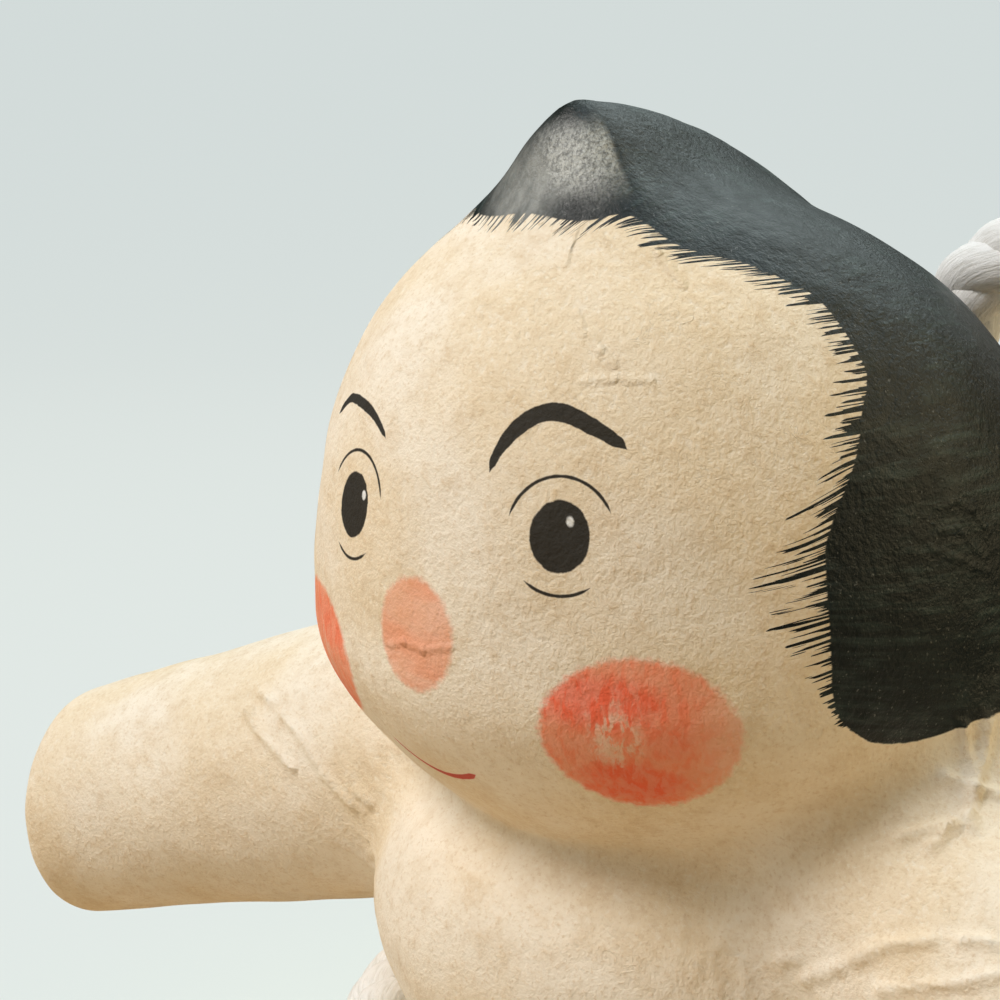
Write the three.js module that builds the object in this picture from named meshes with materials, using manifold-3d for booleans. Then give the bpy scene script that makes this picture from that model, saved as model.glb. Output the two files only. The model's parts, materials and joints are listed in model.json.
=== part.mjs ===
// A papier-mache wrestler doll: a large hollow paper head on a short hollow trunk, stub arms held out,
// short weighted legs, a dark loincloth, a white waist rope with two loops at the back and paper streamers.
// Millimetres, +Z up. The doll faces -Y and its left hand is towards +X.

import * as THREE from "three";
import { mergeVertices } from "three/addons/utils/BufferGeometryUtils.js";
import Module from "manifold-3d";

const wasm = await Module();
wasm.setup();

// Paper shells and the glue line between neighbouring pieces
const WALL = 1.8;
const CLEARANCE = 0.3;
const STRIP = 0.9; // a pasted paper strip

// Head: a lathed superellipse with the crown leaning forward
const HEAD_LEVEL = 88; // height of its widest part
const HEAD_RADIUS = 36.5;
const HEAD_CROWN = 40.5; // widest part to crown
const HEAD_CHIN = 25.5; // widest part to underside
const CROWN_FULLNESS = 2.25; // superellipse exponents
const CHIN_FULLNESS = 1.65;
const CROWN_LEAN = 7;
const HEAD_SEAM_Y = 5; // the seam between the two halves stands behind the head's axis
const SEAM_BAND = 10; // width of the inner strips along the seams

// Topknot: an ellipsoid sheared so that its front is the highest
const KNOT_HALF_WIDTH = 11;
const KNOT_HALF_LENGTH = 22;
const KNOT_HALF_HEIGHT = 14;
const KNOT_Y = -4;
const KNOT_SINK = 8.5; // its middle below the crown
const KNOT_SLOPE = 0.35;

// Trunk: a lathed superellipse with a waist pressed in by the rope
const TRUNK_LEVEL = 49.5;
const TRUNK_RADIUS = 32;
const TRUNK_REACH = 24.5; // middle to top and to underside
const TRUNK_FULLNESS = 3;
const WAIST_LEVEL = 42.5;
const WAIST_DEPTH = 5;
const WAIST_SPREAD = 9.5;
const TRUNK_SEAM_Y = 3;
const NECK_BAND_RADIUS = 2.6; // pasted paper in the neck crease

// Arms
const SHOULDER_LEVEL = 76.5; // height at which the arm axes meet
const SHOULDER_BACK = 4.5; // how far behind the trunk's axis they meet
const ARM_REACH = 89.5; // from there to the tip
const ARM_ROOT_RADIUS = 18;
const ARM_TIP_RADIUS = 13.8;
const ARM_TIP_ROUNDING = 5.5; // length of the rounded end
const ARM_TIP_BLUNTNESS = 0.85; // exponent, 1 is an ellipse
const ARM_FORWARD = 13.6; // degrees
const ARM_DROOP = 17.9; // degrees
const SHOULDER_BAND = 4.5; // how far the pasted strip runs along the arm

// Legs, soles and weights
const LEG_TOP = 34;
const HIP_X = 14.5;
const FOOT_X = 19;
const FOOT_Y = 2; // middle of the leg behind the trunk's axis
const FOOT_RADIUS = 13.5;
const FOOT_LENGTHEN = 0.25; // share by which the foot is longer than wide
const FOOT_FORWARD = 3; // toes
const FOOT_HEIGHT = 7;
const ANKLE_RADIUS = 12;
const ANKLE_LEVEL = 11;
const THIGH_RADIUS = 15;
const THIGH_LEVEL = 25;
const SOLE_THICKNESS = 1.5;
const WEIGHT_HEIGHT = 9;

// Loincloth
const CLOTH = 1.4;
const BELT_HEIGHT = 11;
const CROTCH_WIDTH = 13;

// Rope round the waist, thickest in front, its binding at the back and two loops
const ROPE_FRONT_RADIUS = 4.2;
const ROPE_BACK_RADIUS = 2.6;
const BINDING_WALL = 2.6;
const BINDING_ANGLE = 20; // degrees round the waist
const LOOP_ROPE_RADIUS = 4.3;
const LOOP_HEIGHT = 74; // from the binding to the middle of the rope on top
const LOOP_WIDTH = 20; // between the middles of its two legs
const LOOP_INNER = 7; // inner leg from the doll's middle plane
const LOOP_BULGE = 1.3; // outer leg low down, in half widths from the inner one
const LOOP_BEHIND = 1; // gap to the back of the head
const LOOP_LEAN = 5.6; // forward at the top, over the round of the head
const LOOP_START_Y = 6; // behind the middle of the rope
const LOOP_START_Z = 4.5; // above the middle of the rope

// Zigzag paper streamers on the front of the rope
const STREAMER_COUNT = 5;
const STREAMER_SPACING = 24; // degrees
const STREAMER_WIDTH = 5.5;
const STREAMER_STEP = 2.6; // sideways shift from fold to fold
const STREAMER_FOLD = 5.2; // height of one fold
const STREAMER_FOLDS = 4;
const STREAMER_SLANT = 1.1;
const STREAMER_PAPER = 0.6;
const STREAMER_ANGLE = 50; // degrees below the rope's outermost line

// Facets round and along the lathed pieces, outside and inside
const HEAD_FACETS = [30, 15];
const HEAD_INNER_FACETS = [20, 10];
const TRUNK_FACETS = [30, 18];
const TRUNK_INNER_FACETS = [20, 12];
const ARM_SIDES = 18;
const ARM_INNER_SIDES = 12;
const LEG_FACETS = [18, 8];
const LEG_INNER_FACETS = [12, 6];
const WEIGHT_FACETS = [12, 2];
const KNOT_FACETS = [18, 12];
const ROPE_FACETS = [40, 8];
const LOOP_FACETS = [36, 8];

const rad = THREE.MathUtils.degToRad;

const skin = new THREE.MeshStandardMaterial({ color: 0xe6d2ae, roughness: 0.85, metalness: 0 });
const strip = new THREE.MeshStandardMaterial({ color: 0xe9d9b9, roughness: 0.9, metalness: 0 });
const hair = new THREE.MeshStandardMaterial({ color: 0x1c211d, roughness: 0.5, metalness: 0 });
const cloth = new THREE.MeshStandardMaterial({ color: 0x20263a, roughness: 0.9, metalness: 0 });
const rope = new THREE.MeshStandardMaterial({ color: 0xf5f5f0, roughness: 0.9, metalness: 0 });
const paper = new THREE.MeshStandardMaterial({ color: 0xfafaf6, roughness: 0.8, metalness: 0 });
const board = new THREE.MeshStandardMaterial({ color: 0xb89b6c, roughness: 0.9, metalness: 0 });
const clay = new THREE.MeshStandardMaterial({ color: 0x9a7b5f, roughness: 0.95, metalness: 0 });

// A closed geometry as a solid
function solid(geometry) {
  const bare = geometry.clone();
  bare.deleteAttribute("normal");
  bare.deleteAttribute("uv");
  const joined = mergeVertices(bare, 1e-4);
  const corners = joined.index.array;
  const kept = [];
  for (let i = 0; i < corners.length; i += 3) {
    const [a, b, c] = [corners[i], corners[i + 1], corners[i + 2]];
    if (a !== b && b !== c && c !== a) {
      kept.push(a, b, c);
    }
  }
  const mesh = new wasm.Mesh({
    numProp: 3,
    vertProperties: new Float32Array(joined.attributes.position.array),
    triVerts: new Uint32Array(kept),
  });
  mesh.merge();
  return new wasm.Manifold(mesh);
}

// A solid as a geometry again
function surface(body) {
  const mesh = body.getMesh();
  const geometry = new THREE.BufferGeometry();
  const places = new Float32Array(mesh.numVert * 3);
  for (let i = 0; i < mesh.numVert; i++) {
    for (let k = 0; k < 3; k++) {
      places[3 * i + k] = mesh.vertProperties[mesh.numProp * i + k];
    }
  }
  geometry.setAttribute("position", new THREE.BufferAttribute(places, 3));
  geometry.setIndex(new THREE.BufferAttribute(new Uint32Array(mesh.triVerts), 1));
  geometry.computeVertexNormals();
  return geometry;
}

// The largest body of a cut solid
function largest(body) {
  return body.decompose().sort((a, b) => b.volume() - a.volume())[0];
}

// Moves every vertex by a rule
function shaped(geometry, rule) {
  const place = geometry.attributes.position;
  const point = new THREE.Vector3();
  for (let i = 0; i < place.count; i++) {
    point.fromBufferAttribute(place, i);
    rule(point);
    place.setXYZ(i, point.x, point.y, point.z);
  }
  return geometry;
}

// A profile of (radius, height) points turned round the Z axis
function turned(profile, sides) {
  return new THREE.LatheGeometry(profile, sides).rotateX(Math.PI / 2);
}

function slab(low, high) {
  const size = new THREE.Vector3().subVectors(high, low);
  const middle = new THREE.Vector3().addVectors(low, high).multiplyScalar(0.5);
  return solid(new THREE.BoxGeometry(size.x, size.y, size.z).translate(middle.x, middle.y, middle.z));
}

// A slab wider than the doll between two heights, or between two places along Y
const FAR = 400;
function levels(low, high) {
  return slab(new THREE.Vector3(-FAR, -FAR, low), new THREE.Vector3(FAR, FAR, high));
}
function depths(low, high) {
  return slab(new THREE.Vector3(-FAR, low, -FAR), new THREE.Vector3(FAR, high, FAR));
}

function power(base, exponent) {
  return Math.sign(base) * Math.abs(base) ** exponent;
}

// Superellipse points from the lower end of the axis to the upper one
function ovalProfile(rings, radius, upReach, downReach, upFullness, downFullness) {
  const points = [];
  for (let i = 0; i <= rings; i++) {
    const angle = Math.PI * (i / rings - 0.5);
    const reach = angle > 0 ? upReach : downReach;
    const exponent = 2 / (angle > 0 ? upFullness : downFullness);
    const across = i === 0 || i === rings ? 0 : radius * power(Math.cos(angle), exponent);
    points.push(new THREE.Vector2(across, reach * power(Math.sin(angle), exponent)));
  }
  return points;
}

function head(offset, [sides, rings] = HEAD_FACETS) {
  const profile = ovalProfile(
    rings,
    HEAD_RADIUS + offset,
    HEAD_CROWN + offset,
    HEAD_CHIN + offset,
    CROWN_FULLNESS,
    CHIN_FULLNESS,
  );
  const geometry = shaped(turned(profile, sides), (p) => {
    p.y -= CROWN_LEAN * (Math.max(p.z, 0) / HEAD_CROWN) ** 2;
    p.z += HEAD_LEVEL;
  });
  return solid(geometry);
}

function waistGroove(z) {
  return WAIST_DEPTH * Math.exp(-(((z - WAIST_LEVEL) / WAIST_SPREAD) ** 2));
}

function trunkRadiusAt(z) {
  const share = Math.min(1, Math.abs((z - TRUNK_LEVEL) / TRUNK_REACH));
  return TRUNK_RADIUS * (1 - share ** TRUNK_FULLNESS) ** (1 / TRUNK_FULLNESS) - waistGroove(z);
}

function headRadiusBelow(z) {
  const share = Math.min(1, (HEAD_LEVEL - z) / HEAD_CHIN);
  return HEAD_RADIUS * (1 - share ** CHIN_FULLNESS) ** (1 / CHIN_FULLNESS);
}

function trunk(offset, [sides, rings] = TRUNK_FACETS) {
  const reach = TRUNK_REACH + offset;
  const profile = ovalProfile(rings, TRUNK_RADIUS + offset, reach, reach, TRUNK_FULLNESS, TRUNK_FULLNESS);
  for (const point of profile) {
    point.y += TRUNK_LEVEL;
    point.x = Math.max(0, point.x - waistGroove(point.y));
  }
  return solid(turned(profile, sides));
}

// A tapered arm with a blunt rounded tip, its axis starting inside the top of the trunk
function arm(side, offset, start = 0, sides = ARM_SIDES) {
  const shaftEnd = ARM_REACH - ARM_TIP_ROUNDING;
  const profile = [new THREE.Vector2(0, start), new THREE.Vector2(ARM_ROOT_RADIUS + offset, start)];
  const capRings = 6;
  for (let i = 0; i <= capRings; i++) {
    const angle = (Math.PI / 2) * (i / capRings);
    const across = i === capRings ? 0 : (ARM_TIP_RADIUS + offset) * Math.cos(angle) ** ARM_TIP_BLUNTNESS;
    profile.push(new THREE.Vector2(across, shaftEnd + (ARM_TIP_ROUNDING + offset) * Math.sin(angle)));
  }
  const [forward, droop] = [rad(ARM_FORWARD), rad(ARM_DROOP)];
  const along = new THREE.Vector3(
    side * Math.cos(forward) * Math.cos(droop),
    -Math.sin(forward) * Math.cos(droop),
    -Math.sin(droop),
  );
  const turn = new THREE.Quaternion().setFromUnitVectors(new THREE.Vector3(0, 0, 1), along);
  return solid(turned(profile, sides).applyQuaternion(turn).translate(0, SHOULDER_BACK, SHOULDER_LEVEL));
}

function between(z, z0, r0, z1, r1) {
  const share = THREE.MathUtils.smoothstep(z, z0, z1);
  return r0 + (r1 - r0) * share;
}

function legRadiusAt(z) {
  if (z < ANKLE_LEVEL) {
    return between(z, 0, FOOT_RADIUS, ANKLE_LEVEL, ANKLE_RADIUS);
  }
  return between(z, ANKLE_LEVEL, ANKLE_RADIUS, THIGH_LEVEL, THIGH_RADIUS);
}

// Foot outline and splay of a leg: moves a point of the plain leg to its place
function legPlace(p, side) {
  const foot = Math.exp(-((p.z / FOOT_HEIGHT) ** 2));
  const splay = HIP_X + (FOOT_X - HIP_X) * (1 - p.z / LEG_TOP);
  p.x += side * splay;
  p.y = p.y * (1 + FOOT_LENGTHEN * foot) - FOOT_FORWARD * foot + FOOT_Y;
}

function leg(side, offset, low, high, [sides, rings] = LEG_FACETS) {
  const profile = [new THREE.Vector2(0, low)];
  for (let i = 0; i <= rings; i++) {
    const z = low + (high - low) * (i / rings);
    profile.push(new THREE.Vector2(legRadiusAt(z) + offset, z));
  }
  profile.push(new THREE.Vector2(0, high));
  return solid(shaped(turned(profile, sides), (p) => legPlace(p, side)));
}

function sole(side) {
  const outline = new THREE.Shape().absellipse(0, 0, FOOT_RADIUS, FOOT_RADIUS, 0, 2 * Math.PI);
  const disc = new THREE.ExtrudeGeometry(outline, {
    depth: SOLE_THICKNESS,
    bevelEnabled: false,
    curveSegments: 12,
  });
  return shaped(disc, (p) => {
    const z = p.z;
    p.z = 0;
    legPlace(p, side);
    p.z = z;
  });
}

// Rope radius round the waist: thickest in front
function ropeRadiusAt(angle) {
  const front = (1 - Math.sin(angle)) / 2;
  return ROPE_BACK_RADIUS + (ROPE_FRONT_RADIUS - ROPE_BACK_RADIUS) * front;
}

const waistRadius = trunkRadiusAt(WAIST_LEVEL);

function ropeMiddleAt(angle) {
  return waistRadius + CLEARANCE + ropeRadiusAt(angle);
}

// The rope as a ring, its section enlarged by an offset
function ropeRing(offset) {
  const [round, sides] = ROPE_FACETS;
  const ring = new THREE.TorusGeometry(2, 1, sides, round);
  return solid(
    shaped(ring, (p) => {
      const angle = Math.atan2(p.y, p.x);
      const out = Math.hypot(p.x, p.y) - 2;
      const size = ropeRadiusAt(angle) + offset;
      const reach = ropeMiddleAt(angle) + out * size;
      p.set(reach * Math.cos(angle), reach * Math.sin(angle), WAIST_LEVEL + p.z * size);
    }),
  );
}

// A standing loop behind the head: an upright inner leg, a round top and an outer leg, both from the binding
function loop(side) {
  const round = LOOP_WIDTH / 2;
  const places = [[0, 0], [LOOP_INNER, LOOP_HEIGHT / 2]];
  for (let angle = 180; angle >= 0; angle -= 45) {
    places.push([
      LOOP_INNER + round + round * Math.cos(rad(angle)),
      LOOP_HEIGHT - round + round * Math.sin(rad(angle)),
    ]);
  }
  places.push([LOOP_INNER + LOOP_BULGE * round, LOOP_HEIGHT / 3]);
  const start = ropeMiddleAt(Math.PI / 2) + LOOP_START_Y;
  const behind = HEAD_RADIUS + LOOP_BEHIND + LOOP_ROPE_RADIUS;
  const widest = HEAD_LEVEL - WAIST_LEVEL - LOOP_START_Z;
  const points = places.map(([out, up]) => {
    const leant = between(up, widest, 0, LOOP_HEIGHT, LOOP_LEAN);
    const y = between(up, 0, start, LOOP_HEIGHT / 2, behind) - leant;
    return new THREE.Vector3(side * out, y, WAIST_LEVEL + LOOP_START_Z + up);
  });
  const path = new THREE.CatmullRomCurve3(points, true, "centripetal");
  const [steps, sides] = LOOP_FACETS;
  return solid(new THREE.TubeGeometry(path, steps, LOOP_ROPE_RADIUS, sides, true));
}

// Pieces
const figure = new THREE.Group();
function piece(name, geometry, material) {
  const mesh = new THREE.Mesh(geometry, material);
  mesh.name = name;
  figure.add(mesh);
  return mesh;
}

const headOuter = head(0);
const headInner = head(-WALL, HEAD_INNER_FACETS);
const headKeepOut = head(CLEARANCE);
const trunkOuter = trunk(0);
const trunkInner = trunk(-WALL, TRUNK_INNER_FACETS);
const trunkKeepOut = trunk(CLEARANCE);
const ropeKeepOut = ropeRing(CLEARANCE);

// Head halves and the strip inside their seam
const headShell = headOuter.subtract(headInner);
const headSeam = [HEAD_SEAM_Y - CLEARANCE / 2, HEAD_SEAM_Y + CLEARANCE / 2];
piece("face_shell", surface(headShell.intersect(depths(-FAR, headSeam[0]))), skin);
piece("back_head_shell", surface(headShell.intersect(depths(headSeam[1], FAR))), hair);
const headBand = head(-WALL - CLEARANCE, HEAD_INNER_FACETS)
  .subtract(head(-WALL - CLEARANCE - STRIP, HEAD_INNER_FACETS))
  .intersect(depths(HEAD_SEAM_Y - SEAM_BAND / 2, HEAD_SEAM_Y + SEAM_BAND / 2));
piece("head_seam_band", surface(headBand), strip);

const lump = new THREE.SphereGeometry(1, ...KNOT_FACETS).rotateX(Math.PI / 2);
shaped(lump, (p) => {
  p.set(
    KNOT_HALF_WIDTH * p.x,
    KNOT_HALF_LENGTH * p.y,
    KNOT_HALF_HEIGHT * p.z - KNOT_SLOPE * KNOT_HALF_LENGTH * p.y,
  );
  p.y += KNOT_Y;
  p.z += HEAD_LEVEL + HEAD_CROWN - KNOT_SINK;
});
piece("topknot", surface(solid(lump).subtract(headKeepOut)), hair);

// Trunk halves, cut round the underside of the head, and the strip inside their seam
const trunkShell = trunkOuter.subtract(trunkInner).subtract(headKeepOut);
const trunkSeam = [TRUNK_SEAM_Y - CLEARANCE / 2, TRUNK_SEAM_Y + CLEARANCE / 2];
piece("chest_shell", surface(trunkShell.intersect(depths(-FAR, trunkSeam[0]))), skin);
piece("back_shell", surface(trunkShell.intersect(depths(trunkSeam[1], FAR))), skin);
const trunkBand = trunk(-WALL - CLEARANCE, TRUNK_INNER_FACETS)
  .subtract(trunk(-WALL - CLEARANCE - STRIP, TRUNK_INNER_FACETS))
  .intersect(depths(TRUNK_SEAM_Y - SEAM_BAND / 2, TRUNK_SEAM_Y + SEAM_BAND / 2))
  .subtract(headKeepOut);
piece("trunk_seam_band", surface(trunkBand), strip);

// Pasted paper in the crease where head and trunk meet
let [creaseLow, creaseHigh] = [TRUNK_LEVEL, HEAD_LEVEL];
for (let i = 0; i < 40; i++) {
  const z = (creaseLow + creaseHigh) / 2;
  if (trunkRadiusAt(z) > headRadiusBelow(z)) {
    creaseLow = z;
  } else {
    creaseHigh = z;
  }
}
const crease = new THREE.TorusGeometry(headRadiusBelow(creaseLow), NECK_BAND_RADIUS, 6, HEAD_FACETS[0]);
const neckBand = solid(crease.translate(0, 0, creaseLow))
  .subtract(headKeepOut)
  .subtract(trunkKeepOut)
  .subtract(arm(-1, STRIP + 2 * CLEARANCE))
  .subtract(arm(1, STRIP + 2 * CLEARANCE));
piece("throat_paper_band", surface(largest(neckBand.intersect(depths(-FAR, -CLEARANCE / 2)))), strip);
piece("nape_paper_band", surface(largest(neckBand.intersect(depths(CLEARANCE / 2, FAR)))), strip);

// Arms and the strips pasted round their roots
for (const [name, side] of [["right", -1], ["left", 1]]) {
  const shell = arm(side, 0)
    .subtract(arm(side, -WALL, -1, ARM_INNER_SIDES))
    .subtract(trunkKeepOut)
    .subtract(headKeepOut)
    .subtract(ropeKeepOut);
  piece(`${name}_arm_shell`, surface(largest(shell)), skin);
  const sleeve = arm(side, CLEARANCE + STRIP)
    .subtract(arm(side, CLEARANCE))
    .intersect(trunk(SHOULDER_BAND))
    .subtract(trunkKeepOut)
    .subtract(headKeepOut)
    .subtract(ropeKeepOut);
  piece(`${name}_shoulder_band`, surface(largest(sleeve)), strip);
}

// Loincloth: a belt below the rope and a strip between the legs
const beltHigh = WAIST_LEVEL - ROPE_FRONT_RADIUS - CLEARANCE;
const beltLow = beltHigh - BELT_HEIGHT;
const clothOuter = trunk(CLEARANCE + CLOTH);
const clothShell = clothOuter.subtract(trunkKeepOut);
piece("loincloth_belt", surface(clothShell.intersect(levels(beltLow, beltHigh))), cloth);
const crotch = slab(
  new THREE.Vector3(-CROTCH_WIDTH / 2, -FAR, -FAR),
  new THREE.Vector3(CROTCH_WIDTH / 2, FAR, beltLow - CLEARANCE),
);
piece("loincloth_strip", surface(clothShell.intersect(crotch)), cloth);

// Legs, soles and weights
const beltKeepOut = trunk(CLOTH + 2 * CLEARANCE).intersect(
  levels(beltLow - CLEARANCE, beltHigh + CLEARANCE),
);
const crotchKeepOut = slab(
  new THREE.Vector3(-CROTCH_WIDTH / 2 - CLEARANCE, -FAR, -FAR),
  new THREE.Vector3(CROTCH_WIDTH / 2 + CLEARANCE, FAR, FAR),
);
const legLow = SOLE_THICKNESS + CLEARANCE;
for (const [name, side] of [["right", -1], ["left", 1]]) {
  const shell = leg(side, 0, legLow, LEG_TOP)
    .subtract(leg(side, -WALL, legLow - 1, LEG_TOP + 1, LEG_INNER_FACETS))
    .subtract(trunkKeepOut)
    .subtract(beltKeepOut)
    .subtract(crotchKeepOut);
  piece(`${name}_leg_shell`, surface(shell), skin);
  piece(`${name}_sole`, sole(side), board);
  const filling = leg(side, -WALL - CLEARANCE, legLow, legLow + WEIGHT_HEIGHT, WEIGHT_FACETS);
  piece(`${name}_foot_weight`, surface(filling.subtract(crotchKeepOut)), clay);
}

// Waist rope, its binding and the two loops
piece("waist_rope", surface(ropeRing(0).subtract(trunkKeepOut)), rope);
const half = rad(BINDING_ANGLE / 2);
const wedgeOutline = new THREE.Shape();
wedgeOutline.moveTo(0, 0);
wedgeOutline.lineTo(FAR * Math.sin(half), FAR * Math.cos(half));
wedgeOutline.lineTo(-FAR * Math.sin(half), FAR * Math.cos(half));
wedgeOutline.closePath();
const wedge = solid(
  new THREE.ExtrudeGeometry(wedgeOutline, { depth: 2 * FAR, bevelEnabled: false }).translate(0, 0, -FAR),
);
const bindingOuter = ropeRing(CLEARANCE + BINDING_WALL).intersect(wedge);
const binding = bindingOuter.subtract(ropeKeepOut).subtract(trunkKeepOut).subtract(beltKeepOut);
piece("rope_knot", surface(largest(binding)), rope);
const bindingKeepOut = ropeRing(2 * CLEARANCE + BINDING_WALL);
for (const [name, side] of [["right", -1], ["left", 1]]) {
  const near = slab(new THREE.Vector3(CLEARANCE / 2, -FAR, -FAR), new THREE.Vector3(FAR, FAR, FAR));
  const half = side > 0 ? near : near.mirror([1, 0, 0]);
  const body = loop(side)
    .intersect(half)
    .subtract(bindingKeepOut)
    .subtract(trunkKeepOut)
    .subtract(headKeepOut);
  piece(`${name}_rope_loop`, surface(largest(body)), rope);
}

// Streamers, each hung by its top edge just outside the rope
const zigzag = new THREE.Shape();
const edge = [];
for (let i = 0; i < STREAMER_FOLDS; i++) {
  const shift = (i % 2 === 0 ? -1 : 1) * (STREAMER_STEP / 2);
  edge.push(new THREE.Vector2(shift, -i * STREAMER_FOLD));
  edge.push(new THREE.Vector2(shift, -(i + 1) * STREAMER_FOLD));
}
edge.forEach((p, i) => {
  const [x, y] = [p.x + STREAMER_WIDTH / 2, p.y - (i === 0 ? 0 : STREAMER_SLANT)];
  if (i === 0) {
    zigzag.moveTo(x, y);
  } else {
    zigzag.lineTo(x, y);
  }
});
for (const p of edge.reverse()) {
  zigzag.lineTo(p.x - STREAMER_WIDTH / 2, p.y);
}
zigzag.closePath();
for (let i = 0; i < STREAMER_COUNT; i++) {
  const turn = rad((i - (STREAMER_COUNT - 1) / 2) * STREAMER_SPACING);
  const angle = turn - Math.PI / 2;
  const drop = rad(STREAMER_ANGLE);
  const size = ropeRadiusAt(angle) + CLEARANCE;
  const reach = ropeMiddleAt(angle) + size * Math.cos(drop);
  const sheet = new THREE.ExtrudeGeometry(zigzag, { depth: STREAMER_PAPER, bevelEnabled: false });
  const mesh = piece(`shide_${i + 1}`, sheet.rotateX(Math.PI / 2), paper);
  mesh.position.set(reach * Math.cos(angle), reach * Math.sin(angle), WAIST_LEVEL - size * Math.sin(drop));
  mesh.rotation.z = turn;
}

// The origin is the middle of the doll's bottom
const doll = new THREE.Group();
doll.name = "doll";
doll.add(figure);
const extent = new THREE.Box3().setFromObject(doll, true);
const middle = extent.getCenter(new THREE.Vector3());
figure.position.set(-middle.x, -middle.y, -extent.min.z);

export default doll;
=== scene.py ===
"""A hollow paper doll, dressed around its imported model.

The paper skin is one smooth surface, cut into the shells and strips that a maker pastes together.
Face and hair are painted on the head by its material. Rope, binding, loops and folded streamers
are Geometry Nodes, and the loincloth is a pleated band with a strip between the legs.
"""

import json
import math

import bpy
import numpy as np
from bpy.props import FloatProperty, FloatVectorProperty, IntProperty, PointerProperty
from bpy.types import Operator, Panel, PropertyGroup
from mathutils import Matrix, Vector


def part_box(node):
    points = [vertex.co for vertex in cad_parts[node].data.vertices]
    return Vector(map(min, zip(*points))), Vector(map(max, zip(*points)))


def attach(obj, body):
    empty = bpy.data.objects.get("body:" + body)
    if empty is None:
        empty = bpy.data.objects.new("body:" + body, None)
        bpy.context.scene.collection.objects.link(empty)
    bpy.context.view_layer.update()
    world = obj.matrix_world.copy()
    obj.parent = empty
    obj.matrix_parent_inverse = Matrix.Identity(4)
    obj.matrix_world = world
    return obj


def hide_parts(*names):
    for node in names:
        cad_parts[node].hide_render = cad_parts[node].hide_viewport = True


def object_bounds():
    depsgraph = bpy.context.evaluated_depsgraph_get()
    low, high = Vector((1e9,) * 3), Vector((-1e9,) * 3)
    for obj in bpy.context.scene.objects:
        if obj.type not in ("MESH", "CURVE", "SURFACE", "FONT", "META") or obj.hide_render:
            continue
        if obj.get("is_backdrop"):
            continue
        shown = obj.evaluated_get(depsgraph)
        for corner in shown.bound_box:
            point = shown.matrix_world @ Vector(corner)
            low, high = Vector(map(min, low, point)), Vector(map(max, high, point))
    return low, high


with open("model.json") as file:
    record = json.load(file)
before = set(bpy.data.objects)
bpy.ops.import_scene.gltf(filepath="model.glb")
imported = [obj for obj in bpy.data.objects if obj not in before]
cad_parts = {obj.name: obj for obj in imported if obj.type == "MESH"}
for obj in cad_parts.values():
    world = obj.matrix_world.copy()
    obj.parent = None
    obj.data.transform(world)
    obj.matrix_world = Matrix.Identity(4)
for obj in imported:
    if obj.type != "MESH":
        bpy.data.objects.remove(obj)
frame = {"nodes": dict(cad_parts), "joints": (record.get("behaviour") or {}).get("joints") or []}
cad_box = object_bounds()

bl_info = {
    "name": "Paper Doll",
    "version": (1, 0, 0),
    "blender": (4, 5, 0),
    "location": "View3D > Sidebar > Paper Doll",
    "description": "Builds a hollow paper doll with a painted head, ropes and paper streamers",
    "category": "Object",
}

MM = 0.001
TINY = 1e-9
SEED = 11
DOLL_BODY = "doll"
STREAMERS = [f"shide_{number}" for number in range(1, 6)]

# The doll's upright axis and its seams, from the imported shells
AXIS_Y = (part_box("chest_shell")[0].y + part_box("back_shell")[1].y) / 2
HEAD_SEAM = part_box("face_shell")[1].y
TRUNK_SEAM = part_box("chest_shell")[1].y
SOLE_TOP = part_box("right_sole")[1].z
BELT_LOW, BELT_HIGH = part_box("loincloth_belt")
STRIP_LOW, STRIP_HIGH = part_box("loincloth_strip")
ROPE_LOW, ROPE_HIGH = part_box("waist_rope")
LOOP_LOW, LOOP_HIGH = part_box("left_rope_loop")


# Properties

def length(name, default, description):
    """A size or place in metres."""
    return FloatProperty(name=name, description=description, default=default, unit="LENGTH", precision=5)


def angle(name, degrees, description):
    """An angle, given here in degrees."""
    return FloatProperty(
        name=name, description=description, default=math.radians(degrees), subtype="ANGLE", unit="ROTATION"
    )


def power(name, default, description):
    """Power of a lamp in watts."""
    return FloatProperty(name=name, description=description, default=default, unit="POWER")


def number(name, default, description):
    """A plain number, such as a share or an exponent."""
    return FloatProperty(name=name, description=description, default=default, precision=3)


def place(name, default, description):
    """A place on the head's chart: round the girth from the middle of the face, and above the floor."""
    return FloatVectorProperty(name=name, description=description, default=default, size=2, unit="LENGTH")


def colour(name, red, green, blue, description):
    """A colour, given here as it looks on a screen, from 0 to 255."""
    shares = [value / 255 for value in (red, green, blue)]
    linear = [((v + 0.055) / 1.055) ** 2.4 if v > 0.04045 else v / 12.92 for v in shares]
    return FloatVectorProperty(
        name=name, description=description, default=(*linear, 1), size=4, min=0, max=1, subtype="COLOR"
    )


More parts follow.
